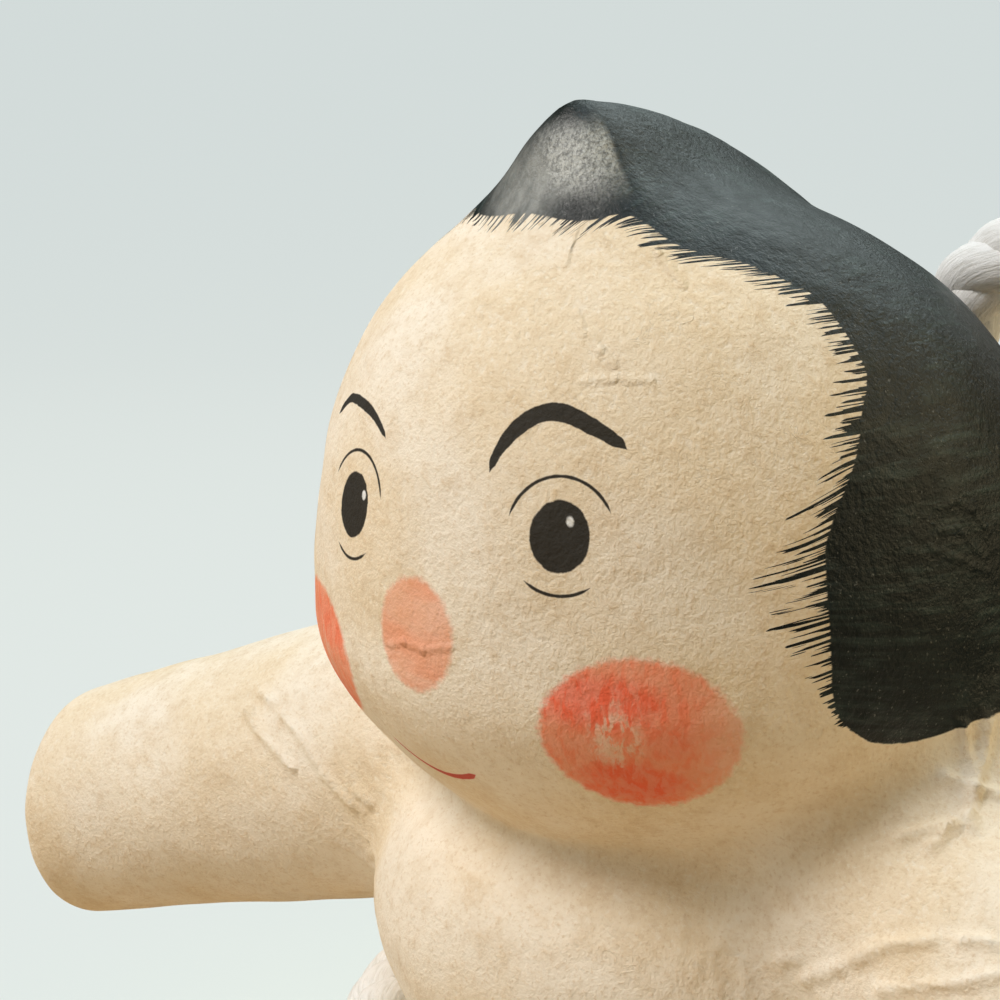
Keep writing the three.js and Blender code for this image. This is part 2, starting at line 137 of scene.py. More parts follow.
class PaperSizes(PropertyGroup):
    """Sizes of the paper shells, from the doll's axis and the surface that it stands on."""

    head_level: length("Head level", 0.0881, "Height of the widest part of the head")
    head_radius: length("Head radius", 0.0365, "Radius of the head at its widest")
    head_crown: length("Crown height", 0.0404, "From the widest part up to the crown")
    head_chin: length("Chin depth", 0.0252, "From the widest part down to the underside")
    crown_fullness: number("Crown fullness", 2.23, "Exponent of the crown's curve, 2 is an ellipse")
    crown_lean: length("Crown lean", 0.0069, "How far the crown leans forward")
    chin_softness: length("Chin softness", 0.010, "Rounding between the cheeks and the underside")
    knot_level: length("Knot level", 0.13615, "Height of the topknot's tip")
    knot_front: length("Knot front", -0.0195, "Place of the topknot's tip in front of the axis")
    knot_pitch: angle("Knot pitch", 59, "Slope of the topknot's two sides")
    knot_face: angle("Knot face", 74.5, "Slope of the topknot's front")
    knot_ridge: length("Knot ridge", 0.0042, "Rounding of the topknot's ridge")
    knot_fall: number("Knot fall", 8.0, "How fast the ridge falls away behind, per metre")
    knot_bow: length("Knot bow", 0.044, "Curve of the topknot's front from side to side")
    knot_crease: length("Knot crease", 0.0032, "Rounding of the edge round the topknot's front")
    knot_join: length("Knot join", 0.0042, "Fillet between topknot and crown")
    knot_foot: length("Knot foot", 0.112, "Height at which the topknot's pulp ends inside the head")
    trunk_level: length("Trunk level", 0.0495, "Height of the middle of the trunk")
    trunk_radius: length("Trunk radius", 0.032, "Radius of the trunk at its widest")
    trunk_reach: length("Trunk reach", 0.0245, "From the middle of the trunk to its top and bottom")
    trunk_fullness: number("Trunk fullness", 3.0, "Exponent of the trunk's curve, 2 is an ellipse")
    waist_level: length("Waist level", 0.0425, "Height of the waist")
    waist_depth: length("Waist depth", 0.005, "How deep the rope presses the waist in")
    waist_spread: length("Waist spread", 0.0095, "Height over which the waist is pressed in")
    shoulder_level: length("Shoulder level", 0.0765, "Height at which the arms' axes meet")
    shoulder_back: length("Shoulder back", 0.0045, "How far behind the doll's axis they meet")
    arm_reach: length("Arm reach", 0.0891, "Length of an arm from there")
    arm_root: length("Arm root", 0.0182, "Radius of an arm where the axes meet")
    arm_tip: length("Arm tip", 0.01376, "Radius of an arm at its end")
    arm_forward: angle("Arm forward", 13.6, "How far the arms point forward")
    arm_droop: angle("Arm droop", 17.9, "How far the arms point down")
    arm_end_edge: length("Arm end edge", 0.0034, "Rounding of the arm's blunt end")
    arm_end_tilt: number("Arm end tilt", 0.19, "Slant of the arm's blunt end")
    leg_top: length("Leg top", 0.034, "Height at which a leg ends inside the trunk")
    leg_gap: length("Leg gap", 0.0068, "Half the gap between the legs")
    hip_x: length("Hip place", 0.0145, "From the axis to the middle of a thigh")
    foot_x: length("Foot place", 0.019, "From the axis to the middle of a foot")
    foot_y: length("Leg place", 0.002, "From the axis back to the middle of a leg")
    foot_radius: length("Foot radius", 0.0135, "Radius of a foot across")
    foot_forward: length("Foot forward", 0.003, "How far a foot stands in front of its leg")
    foot_lengthen: number("Foot lengthen", 0.25, "How much longer a foot is than wide")
    foot_height: length("Foot height", 0.007, "Height over which the foot runs out into the ankle")
    ankle_level: length("Ankle level", 0.011, "Height of the ankle")
    ankle_radius: length("Ankle radius", 0.012, "Radius of the ankle")
    thigh_level: length("Thigh level", 0.025, "Height of the thigh")
    thigh_radius: length("Thigh radius", 0.015, "Radius of the thigh")
    foot_edge: length("Foot edge", 0.0012, "Rounding of the edge over the sole")
    throat_crease: length("Throat crease", 0.0025, "Fillet between chin and chest")
    nape_join: length("Nape join", 0.0095, "How much wider that fillet is behind")
    shoulder_crease: length("Armpit crease", 0.0025, "Fillet under the arms")
    shoulder_join: length("Shoulder join", 0.0025, "How much wider that fillet is above")
    wall: length("Paper wall", 0.0018, "Thickness of the pasted paper")
    strip: length("Strip half width", 0.0028, "Half the width of the pasted strips over a joint")
    net_step: length("Net step", 0.001, "Grid on which the skin is found, each face is split once more")
    lump: length("Lump height", 0.00012, "Height of the soft lumps of a hand-made shell")
    crumple: length("Crumple height", 0.00060, "Height of the crumples at neck and shoulders")


class FacePlaces(PropertyGroup):
    """Places and sizes of the painted face on the head's chart."""

    left_eye: place("Left eye", (0.01355, 0.1018), "Middle of the left pupil")
    right_eye: place("Right eye", (-0.0108, 0.1011), "Middle of the right pupil")
    pupil_width: length("Pupil width", 0.0026, "Half the pupil's width")
    pupil_height: length("Pupil height", 0.0029, "Half the pupil's height")
    left_glint: place("Left glint", (0.0144, 0.1031), "Dab of white on the left pupil")
    right_glint: place("Right glint", (-0.0091, 0.1022), "Dab of white on the right pupil")
    glint_width: length("Glint width", 0.00032, "Half the width of those dabs")
    glint_height: length("Glint height", 0.0004, "Half the height of those dabs")
    lid_radius: length("Lid radius", 0.00475, "Radius of the lines above and below an eye")
    lid_line: length("Lid line", 0.00014, "Half the width of those lines")
    left_brow: place("Left brow", (0.0125, 0.104), "Middle about which the left brow bends")
    right_brow: place("Right brow", (-0.0124, 0.1027), "Middle about which the right brow bends")
    nose: place("Nose", (-0.0006, 0.0917), "Middle of the pink dab on the nose")
    nose_radius: length("Nose radius", 0.0047, "Radius of the pink dab")
    left_cheek: place("Left cheek", (0.0205, 0.0856), "Middle of the left red cheek")
    right_cheek: place("Right cheek", (-0.0199, 0.0860), "Middle of the right red cheek")
    cheek_width: length("Cheek width", 0.0084, "Half the width of a red cheek")
    cheek_height: length("Cheek height", 0.0069, "Half the height of a red cheek")
    mouth: place("Mouth", (-0.0029, 0.0910), "Middle about which the mouth bends")
    mouth_radius: length("Mouth radius", 0.0134, "Radius of the mouth's bend")
    hair_level: length("Hair level", 0.100, "Height about which the hairline is drawn")


class Colours(PropertyGroup):
    """Colours of the paper, paint, cloth and rope."""

    paper: colour("Paper", 243, 225, 195, "Bare pasted paper")
    paper_pale: colour("Pale paper", 251, 240, 221, "Paper where the pulp is thin")
    paper_stain: colour("Stained paper", 214, 184, 141, "Paper browned by paste")
    hair: colour("Hair paint", 16, 24, 22, "Black paint of the hair")
    hair_worn: colour("Worn hair paint", 58, 74, 71, "Hair paint where it is brushed thin")
    # Pale grey for painted highlight and sheen on the black hair: the grainy highlight on the topknot's
    # front, and specks that are partly dust and pinholes, partly painted sheen
    hair_highlight_and_wear: colour("Rubbed hair paint", 200, 202, 196, "Grain that shows where the topknot is rubbed")
    ink: colour("Ink", 14, 16, 16, "Black lines of the face")
    cheek: colour("Cheek red", 252, 98, 58, "Red of the cheeks")
    cheek_thin: colour("Thin cheek red", 252, 144, 104, "Red of the cheeks where it is dabbed thin")
    nose: colour("Nose pink", 244, 156, 116, "Pink of the nose")
    mouth: colour("Mouth red", 205, 62, 48, "Red of the mouth's line")
    rope: colour("Rope", 250, 250, 247, "White cotton rope")
    rope_shade: colour("Rope grooves", 228, 227, 221, "Cotton deep in the lay")
    streamer: colour("Streamer", 243, 242, 236, "White folded paper")
    streamer_shade: colour("Streamer fibres", 224, 221, 210, "Fibres in the white paper")
    cloth: colour("Cloth", 30, 36, 52, "Dark woven cotton")
    cloth_worn: colour("Worn cloth", 66, 74, 94, "Raised threads of the cotton")
    board: colour("Cardboard", 176, 146, 106, "Cardboard soles")
    clay: colour("Clay", 128, 96, 74, "Clay weights in the feet")
    backdrop_low: colour("Backdrop near", 226, 233, 230, "Floor round the doll")
    backdrop_high: colour("Backdrop far", 219, 228, 227, "Backdrop behind")
    backdrop_gloss: colour("Backdrop gloss", 72, 76, 74, "Floor as it shows in the gloss of the hair")
    backdrop_bounce: colour("Backdrop bounce", 204, 180, 146, "Floor as it lights the doll from below")


class TrimSizes(PropertyGroup):
    """Sizes of the rope, the loops, the streamers and the loincloth."""

    rope_front: length("Rope in front", 0.0042, "Radius of the waist rope in front")
    rope_back: length("Rope behind", 0.0026, "Radius of the waist rope behind")
    rope_turns: IntProperty(name="Rope turns", description="Turns of the lay round the waist", default=11)
    loop_rope: length("Loop rope", 0.0043, "Radius of the standing loops' rope")
    loop_tied: length("Loop tied", 0.0020, "Radius of that rope where the binding holds it")
    loop_tail: length("Loop tail", 0.0058, "How far a loop's ends run down inside the binding")
    loop_inner: length("Loop inner leg", 0.007, "From the middle to a loop's inner leg")
    loop_width: length("Loop width", 0.020, "Width of a loop between rope middles")
    loop_height: length("Loop height", 0.074, "Height of a loop from the binding to its top")
    loop_lean: length("Loop lean", 0.0056, "How far a loop leans forward at its top")
    loop_turns: IntProperty(name="Loop turns", description="Turns of the lay along a loop", default=9)
    cord: length("Binding cord", 0.0012, "Radius of the cord that binds the rope behind")
    cord_turns: IntProperty(name="Binding turns", description="Turns of the binding cord", default=7)
    fold_width: length("Fold width", 0.0055, "Width of a streamer's folds")
    fold_height: length("Fold height", 0.0052, "Height of a streamer's folds")
    fold_step: length("Fold step", 0.0026, "Sideways step from fold to fold")
    fold_slant: length("Fold slant", 0.0011, "Slant of a fold's lower edge")
    fold_count: IntProperty(name="Folds", description="Folds of a streamer", default=4)
    fold_paper: length("Streamer paper", 0.00025, "Thickness of the streamer's paper")
    fold_lean: angle("Fold lean", 7, "Lean of each fold to the front or back")
    cloth: length("Cloth", 0.0014, "Thickness of the wound cloth")
    cloth_gap: length("Cloth gap", 0.0003, "Gap between cloth and paper")
    pleats: IntProperty(name="Pleats", description="Pleats of the wound belt", default=3)


class StageSizes(PropertyGroup):
    """Camera, lamps and backdrop."""

    camera_azimuth: angle("Camera azimuth", 44, "Turn of the camera from the doll's front to its left")
    camera_elevation: angle("Camera elevation", 12, "Height of the camera above the horizon")
    camera_distance: length("Camera distance", 0.180, "From the camera to the point that it looks at")
    camera_level: length("Camera target", 0.0978, "Height of the point that the camera looks at")
    camera_aside: length("Camera aside", 0.0185, "How far that point lies to the left of the axis")
    lens: number("Lens", 66.6, "Focal length in millimetres")
    sensor: number("Sensor", 36, "Width of the sensor in millimetres")
    lamp_level: length("Lamp target", 0.09, "Height of the point that the lamps look at")
    key_power: power("Key power", 3.2, "Small soft lamp high on the left")
    side_power: power("Side power", 1.05, "Large soft lamp on the left")
    over_power: power("Overhead power", 1.0, "Soft lamp overhead")
    warm_power: power("Warm power", 2.0, "Large warm lamp on the right")
    back_power: power("Back power", 2.0, "Soft lamp above and behind")
    sky: number("Sky light", 0.04, "Strength of the even light from all round")
    floor_half: length("Floor half", 3.0, "Half the backdrop's width, and its reach in front")
    wall_back: length("Wall back", 1.6, "From the middle of the floor to the backdrop's wall")
    wall_bend: length("Wall bend", 0.8, "Radius of the bend from floor to wall")
    wall_top: length("Wall top", 2.2, "Height of the backdrop's wall")


# The form of the paper skin

# Where the fillets have grown wide: up the trunk at the shoulders, and from front to back at the neck
SHOULDER_SHARE = 0.7
NAPE_SHARES = (-0.8, 0.2)


def ease(value, low, high):
    """Smooth rise from 0 at low to 1 at high."""
    share = np.clip((value - low) / (high - low), 0, 1)
    return share * share * (3 - 2 * share)


def smooth_join(first, second, reach):
    """Union of two forms with a fillet of this reach."""
    share = np.clip(0.5 + 0.5 * (second - first) / reach, 0, 1)
    return second + (first - second) * share - reach * share * (1 - share)


def smooth_cut(first, second, reach):
    """What two forms share, with its edge rounded over this reach."""
    return -smooth_join(-first, -second, reach)


def head_form(x, y, z, s):
    """Full crown that leans forward over a flatter underside."""
    up = z - s.head_level
    y = y + s.crown_lean * (np.clip(up, 0, 1.5 * s.head_crown) / s.head_crown) ** 2
    across = np.hypot(x, y)
    full = s.crown_fullness
    crown = ((across / s.head_radius) ** full + (np.abs(up) / s.head_crown) ** full) ** (1 / full)
    soft = s.chin_softness
    drop = (np.hypot(up, soft) - soft) / (math.hypot(s.head_chin, soft) - soft)
    jaw = np.sqrt((across / s.head_radius) ** 2 + drop)
    return np.hypot(across, up) * (1 - 1 / (np.where(up > 0, crown, jaw) + TINY))


def knot_form(x, y, z, s):
    """Topknot like a small tent: two sloping sides, a falling ridge and a steep front."""
    back = y - s.knot_front
    ridge = s.knot_level - s.knot_fall * back * np.abs(back)
    aside = np.hypot(x, s.knot_ridge) - s.knot_ridge
    sides = aside * math.sin(s.knot_pitch) + (z - ridge) * math.cos(s.knot_pitch)
    behind = back - x * x / s.knot_bow
    front = (z - s.knot_level) * math.cos(s.knot_face) - behind * math.sin(s.knot_face)
    return np.maximum(smooth_cut(sides, front, s.knot_crease), s.knot_foot - z)


def trunk_form(x, y, z, s):
    """Squat barrel with a waist."""
    up = z - s.trunk_level
    waist = s.waist_depth * np.exp(-(((z - s.waist_level) / s.waist_spread) ** 2))
    across = np.hypot(x, y) + waist
    full = s.trunk_fullness
    swell = ((across / s.trunk_radius) ** full + (np.abs(up) / s.trunk_reach) ** full) ** (1 / full)
    return np.hypot(across, up) * (1 - 1 / (swell + TINY))


def arm_form(x, y, z, s, side):
    """Tapered stub with a blunt, slightly slanted end."""
    ahead, level = math.sin(s.arm_forward), math.cos(s.arm_droop)
    out, fall = side * math.cos(s.arm_forward), math.sin(s.arm_droop)
    axis = (out * level, -ahead * level, -fall)
    lift = (out * fall, -ahead * fall, level)
    y, z = y - s.shoulder_back, z - s.shoulder_level
    along = x * axis[0] + y * axis[1] + z * axis[2]
    above = x * lift[0] + y * lift[1] + z * lift[2]
    reach = np.maximum(along, 0)
    away = np.sqrt((x - reach * axis[0]) ** 2 + (y - reach * axis[1]) ** 2 + (z - reach * axis[2]) ** 2)
    radius = s.arm_root + (s.arm_tip - s.arm_root) * reach / s.arm_reach
    end = along - s.arm_reach + s.arm_end_tilt * above
    return smooth_cut(away - radius, end, s.arm_end_edge)


def leg_form(x, y, z, s, side):
    """Short leg that widens to the thigh and stands on a longer foot."""
    foot = np.exp(-((z / s.foot_height) ** 2))
    middle = s.foot_x + (s.hip_x - s.foot_x) * ease(z, 0, s.leg_top)
    ahead = (y - s.foot_y + s.foot_forward * foot) / (1 + s.foot_lengthen * foot)
    radius = s.foot_radius + (s.ankle_radius - s.foot_radius) * ease(z, 0, s.ankle_level)
    radius = radius + (s.thigh_radius - s.ankle_radius) * ease(z, s.ankle_level, s.thigh_level)
    ends = np.maximum(SOLE_TOP - z, z - s.leg_top)
    flat = np.maximum(ends, s.leg_gap - side * x)
    return smooth_cut(np.hypot(side * x - middle, ahead) - radius, flat, s.foot_edge)


def paper_forms(points, s):
    """Distances from the points to each of the forms that the skin joins."""
    x, y, z = points[:, 0], points[:, 1] - AXIS_Y, points[:, 2]
    return {
        "head": head_form(x, y, z, s),
        "knot": knot_form(x, y, z, s),
        "trunk": trunk_form(x, y, z, s),
        "arms": np.minimum(arm_form(x, y, z, s, -1), arm_form(x, y, z, s, 1)),
        "legs": np.minimum(leg_form(x, y, z, s, -1), leg_form(x, y, z, s, 1)),
    }


def skin_distance(points, s):
    """Distance from the points to the smooth paper skin, negative inside."""
    forms = paper_forms(points, s)
    y, z = points[:, 1] - AXIS_Y, points[:, 2]
    hips = smooth_join(forms["trunk"], forms["legs"], s.throat_crease)
    top = ease(z, s.trunk_level, s.trunk_level + SHOULDER_SHARE * s.trunk_reach)
    body = smooth_join(hips, forms["arms"], s.shoulder_crease + s.shoulder_join * top)
    head = smooth_join(forms["head"], forms["knot"], s.knot_join)
    behind = ease(y, NAPE_SHARES[0] * s.trunk_radius, NAPE_SHARES[1] * s.trunk_radius)
    return smooth_join(head, body, s.throat_crease + s.nape_join * behind)


# Creases of the pasted paper beside neck and shoulder, in millimetres round the axis
NECK_PLEATS = (
    ((35.7, -8.7, 85.4), (36.6, -8.7, 82.2), (37.7, -10.3, 79.9), (38.9, -12.2, 78.4)),
    ((36.7, -6.3, 85.4), (37.0, -7.7, 82.5), (37.8, -9.8, 80.2)),
    ((35.4, -10.7, 81.5), (37.5, -9.5, 80.5), (39.1, -8.4, 80.2)),
    ((36.6, -1.0, 84.4), (38.4, -2.6, 80.8)),
)
SHOULDER_CREASES = (
    ((33.3, -19.9, 67.7), (35.9, -19.6, 69.7), (39.9, -19.0, 71.3)),
    ((42.1, -18.6, 71.8), (43.8, -18.2, 72.3), (44.9, -18.1, 72.2)),
    ((25.8, -19.1, 65.0), (27.5, -19.2, 65.7)),
    ((28.4, -19.2, 64.2), (32.4, -19.9, 66.9)),
    ((36.8, -14.8, 76.9), (37.5, -13.2, 78.1), (38.0, -11.5, 79.0)),
    ((34.0, -15.2, 77.0), (37.4, -12.8, 78.4)),
    ((36.3, -20.5, 66.4), (43.0, -20.2, 69.1), (45.8, -19.3, 70.5)),
)
CREASE_WIDTH = 0.45 * MM

# Soft lumps: spacing and number of the waves, and their share of the full height
LUMPS = ((22 * MM, 6, 1.0), (11 * MM, 8, 0.7), (5 * MM, 10, 0.3))

# Crumples: how far they spread from a joint, and the ranges over which they set in
SHOULDER_SPREAD = 7 * MM
SHOULDER_LEVELS = (45 * MM, 60 * MM)
CLEAR_OF_HEAD = (1 * MM, 5 * MM)
NAPE_SPREAD = 5 * MM
NAPE_DEPTHS = (-12 * MM, 6 * MM)

# Folds in the crumples: their spacings and height, the waves that bend them, and the pleats round the neck
FOLD_SPACINGS = (6 * MM, 4 * MM)
FOLD_HEIGHT = 0.4
FOLD_LIMIT = 1.2
BEND_SPACING = 9 * MM
BEND_WAVES = 5
FOLD_BEND = 1.6
PLEAT_BEND = 1.28
PLEAT_HEIGHT = 1.1
NAPE_PLEATS = 30


def line_distance(points, line):
    """Distance from the points to a line with corners."""
    nearest = np.full(len(points), np.inf)
    for start, end in zip(line[:-1], line[1:]):
        run = end - start
        share = np.clip((points - start) @ run / (run @ run), 0, 1)
        nearest = np.minimum(nearest, np.linalg.norm(points - start - share[:, None] * run, axis=1))
    return nearest


def waves(points, draw, spacing, count):
    """Sum of soft waves in drawn directions, from about -1 to 1."""
    total = np.zeros(len(points))
    for _ in range(count):
        way = draw.normal(size=3)
        way /= np.linalg.norm(way)
        total += np.sin(points @ way * math.tau / spacing + draw.uniform(0, math.tau))
    return total / math.sqrt(2 * count)


def paper_relief(points, s):
    """How far lumps, creases and gathers raise the paper at the points."""
    draw = np.random.default_rng(SEED)
    points = points - (0, AXIS_Y, 0)
    height = np.zeros(len(points))
    for spacing, count, share in LUMPS:
        height += share * s.lump * waves(points, draw, spacing, count)
    for line in NECK_PLEATS + SHOULDER_CREASES:
        for side in (-1, 1):
            away = line_distance(points, np.array(line) * MM * (side, 1, 1))
            height += s.crumple * np.exp(-((away / CREASE_WIDTH) ** 2))
    return height + gathers(points, draw, s)


def gathers(points, draw, s):
    """Crumpled paper round the arm roots and behind the neck."""
    forms = paper_forms(points + (0, AXIS_Y, 0), s)
    below = forms["head"] - np.minimum(forms["arms"], forms["trunk"])
    shoulder = np.exp(-(((forms["arms"] - forms["trunk"]) / SHOULDER_SPREAD) ** 2))
    shoulder *= ease(points[:, 2], *SHOULDER_LEVELS) * ease(below, *CLEAR_OF_HEAD)
    nape = np.exp(-((below / NAPE_SPREAD) ** 2)) * ease(points[:, 1], *NAPE_DEPTHS)
    bend = waves(points, draw, BEND_SPACING, BEND_WAVES)
    fold = np.zeros(len(points))
    for spacing in FOLD_SPACINGS:
        way = draw.normal(size=3)
        phase = points @ (way / np.linalg.norm(way)) * math.pi / spacing
        fold += (1 - np.abs(np.sin(phase + FOLD_BEND * bend))) ** 5
    turn = np.arctan2(points[:, 0], -points[:, 1])
    pleat = (1 - np.abs(np.sin(NAPE_PLEATS / 2 * turn + PLEAT_BEND * bend))) ** 4
    crumpled = FOLD_HEIGHT * shoulder * np.clip(fold, 0, FOLD_LIMIT)
    return s.crumple * (crumpled + PLEAT_HEIGHT * nape * pleat)


# Meshes

# Half the step for measuring a slope, and the longest step of a point towards the skin
SLOPE_STEP = 0.05 * MM
LONGEST_STEP = 0.4 * MM

# The cosine below which the faces round a point count as folded over
FOLDED_OVER = 0.3


def surface_net(distance, low, high, step):
    """Points and outward quads of the surface where a distance is zero."""
    axes = [np.arange(a, b + step, step) for a, b in zip(low, high)]
    grid = np.stack(np.meshgrid(*axes, indexing="ij"), axis=-1)
    inside = (distance(grid.reshape(-1, 3)) < 0).reshape(grid.shape[:3])
    cells = tuple(n - 1 for n in inside.shape)
    count = np.zeros(cells, int)
    for i, j, k in np.ndindex(2, 2, 2):
        count += inside[i:i + cells[0], j:j + cells[1], k:k + cells[2]]
    mixed = (count > 0) & (count < 8)
    index = np.full(cells, -1)
    index[mixed] = np.arange(mixed.sum())
    points = np.array(low) + (np.argwhere(mixed) + 0.5) * step
    quads = []
    for axis in range(3):
        first = inside.take(range(cells[axis]), axis)
        second = inside.take(range(1, cells[axis] + 1), axis)
        for crossing, turned in ((first & ~second, False), (second & ~first, True)):
            corner = np.argwhere(crossing)
            u, v = np.roll(np.eye(3, dtype=int), -axis - 1, axis=0)[:2]
            round_edge = [corner - u - v, corner - v, corner, corner - u]
            quad = np.stack([index[tuple(c.T)] for c in round_edge], axis=1)
            quads.append(quad[:, ::-1] if turned else quad)
    return points, np.concatenate(quads)


def gradient(points, distance):
    """Outward unit direction of a distance at the points."""
    ways = SLOPE_STEP * np.eye(3)
    slope = np.stack([distance(points + way) - distance(points - way) for way in ways], axis=1)
    return slope / (np.linalg.norm(slope, axis=1, keepdims=True) + TINY)


def settle(points, distance, rounds):
    """Points moved onto the surface where a distance is zero, by short steps."""
    for _ in range(rounds):
        step = np.clip(distance(points), -LONGEST_STEP, LONGEST_STEP)
        points = points - gradient(points, distance) * step[:, None]
    return points


def split_quads(points, quads):
    """Each quad cut into four."""
    sides = np.stack([quads, np.roll(quads, -1, axis=1)], axis=2)
    edges, number_of = np.unique(np.sort(sides.reshape(-1, 2), axis=1), axis=0, return_inverse=True)
    middle = len(points) + number_of.reshape(quads.shape)
    centre = len(points) + len(edges) + np.arange(len(quads))
    points = np.concatenate([points, points[edges].mean(axis=1), points[quads].mean(axis=1)])
    before = np.roll(middle, 1, axis=1)
    fours = [np.stack([quads[:, i], middle[:, i], centre, before[:, i]], axis=1) for i in range(4)]
    return points, np.concatenate(fours)


def point_normals(points, quads, outward):
    """Mean normal of the faces round each point, or the way outward where small faces fold over."""
    a, b, c, d = (points[quads[:, i]] for i in range(4))
    face = np.cross(c - a, d - b)
    total = np.zeros_like(points)
    for i in range(4):
        for axis in range(3):
            total[:, axis] += np.bincount(quads[:, i], face[:, axis], len(points))
    total /= np.linalg.norm(total, axis=1, keepdims=True) + TINY
    folded = (total * outward).sum(axis=1) < FOLDED_OVER
    total[folded] = outward[folded]
    return total


def mesh_object(name, points, faces, material):
    """New object of these faces, smooth, in the scene."""
    mesh = bpy.data.meshes.new(name)
    mesh.from_pydata(np.asarray(points).tolist(), [], [list(map(int, face)) for face in faces])
    mesh.validate()
    mesh.shade_smooth()
    mesh.materials.append(material)
    piece = bpy.data.objects.new(name, mesh)
    bpy.context.scene.collection.objects.link(piece)
    return piece


def shell_object(name, points, normals, quads, wall, material):
    """A part of the skin as a closed shell: outside, inside and the torn edge between them."""
    used, faces = np.unique(quads, return_inverse=True)
    faces = faces.reshape(-1, 4)
    total = len(used)
    facing = normals[used]
    outside = points[used]
    start, end = faces.ravel(), np.roll(faces, -1, axis=1).ravel()
    edge = ~np.isin(start * total + end, end * total + start)
    start, end = start[edge], end[edge]
    rim = np.stack([end, start, start + total, end + total], axis=1)
    every = np.concatenate([faces, faces[:, ::-1] + total, rim])
    piece = mesh_object(name, np.concatenate([outside, outside - wall * facing]), every, material)
    both = np.concatenate([facing, -facing])
    loops = both[every.ravel()]
    loops[2 * faces.size:] = 0
    piece.data.polygons.foreach_set("use_smooth", np.arange(len(every)) < 2 * len(faces))
    piece.data.normals_split_custom_set(loops.tolist())
    return piece


def skin_parts(points, s):
    """Name of the pasted part that each point of the skin belongs to."""
    forms = paper_forms(points, s)
    x, y = points[:, 0], points[:, 1]
    crown = np.minimum(forms["head"], forms["knot"])
    hips = np.minimum(forms["trunk"], forms["legs"])
    body = np.minimum(hips, forms["arms"])
    side = np.where(x < 0, "right", "left")
    part = np.where(y < TRUNK_SEAM, "chest", "back").astype("<U24")
    on_leg = (forms["legs"] < forms["trunk"]) & (forms["legs"] < forms["arms"])
    part[on_leg] = np.char.add(side[on_leg], "_leg")
    on_arm = forms["arms"] < hips
    part[on_arm] = np.char.add(side[on_arm], "_arm")
    on_joint = (np.abs(forms["arms"] - forms["trunk"]) < s.strip) & ~on_leg
    part[on_joint] = np.char.add(side[on_joint], "_shoulder_strip")
    on_head = crown < body
    part[on_head] = np.where(y < HEAD_SEAM, "face", "back_head")[on_head]
    part[on_head & (forms["knot"] < forms["head"])] = "topknot"
    on_neck = np.abs(crown - body) < s.strip
    part[on_neck] = np.where(y < TRUNK_SEAM, "throat_strip", "nape_strip")[on_neck]
    return part


# Node graphs

class Graph:
    """Short calls that add nodes to one tree and join them."""

    def __init__(self, tree):
        self.tree = tree

    def join(self, socket, value):
        """Links a socket, or sets it where the value is plain."""
        if isinstance(value, bpy.types.NodeSocket):
            self.tree.links.new(value, socket)
        else:
            socket.default_value = value

    def add(self, kind, inputs=(), **settings):
        """New node with these inputs, by name or place."""
        node = self.tree.nodes.new(kind)
        for key, value in settings.items():
            setattr(node, key, value)
        for key, value in dict(inputs).items():
            self.join(node.inputs[key], value)
        return node

    def math(self, operation, *values, clamp=False):
        """Result of a sum on plain numbers."""
        node = self.add("ShaderNodeMath", enumerate(values), operation=operation, use_clamp=clamp)
        return node.outputs[0]

    def vector(self, operation, *values):
        """Result of a sum on vectors."""
        return self.add("ShaderNodeVectorMath", enumerate(values), operation=operation).outputs[0]

    def scaled(self, vector, share):
        """A vector times a number."""
        return self.add("ShaderNodeVectorMath", {0: vector, 3: share}, operation="SCALE").outputs[0]

    def combined(self, x, y, z=0.0):
        """A vector from its three numbers."""
        return self.add("ShaderNodeCombineXYZ", {0: x, 1: y, 2: z}).outputs[0]

    def apart(self, vector):
        """The three numbers of a vector."""
        return self.add("ShaderNodeSeparateXYZ", {0: vector}).outputs

    def reach(self, first, second):
        """Length of the long side over two square sides."""
        squares = [self.math("POWER", side, 2.0) for side in (first, second)]
        return self.math("SQRT", self.math("ADD", *squares))

    def product(self, first, *others):
        """Several numbers multiplied."""
        for other in others:
            first = self.math("MULTIPLY", first, other)
        return first

    def moved(self, geometry, offset):
        """Geometry whose points are moved."""
        return self.add("GeometryNodeSetPosition", {"Geometry": geometry, "Offset": offset}).outputs[0]

    def marked(self, geometry, name, value):
        """Geometry that keeps a value under a name."""
        inputs = {"Geometry": geometry, "Name": name, "Value": value}
        return self.add("GeometryNodeStoreNamedAttribute", inputs).outputs[0]


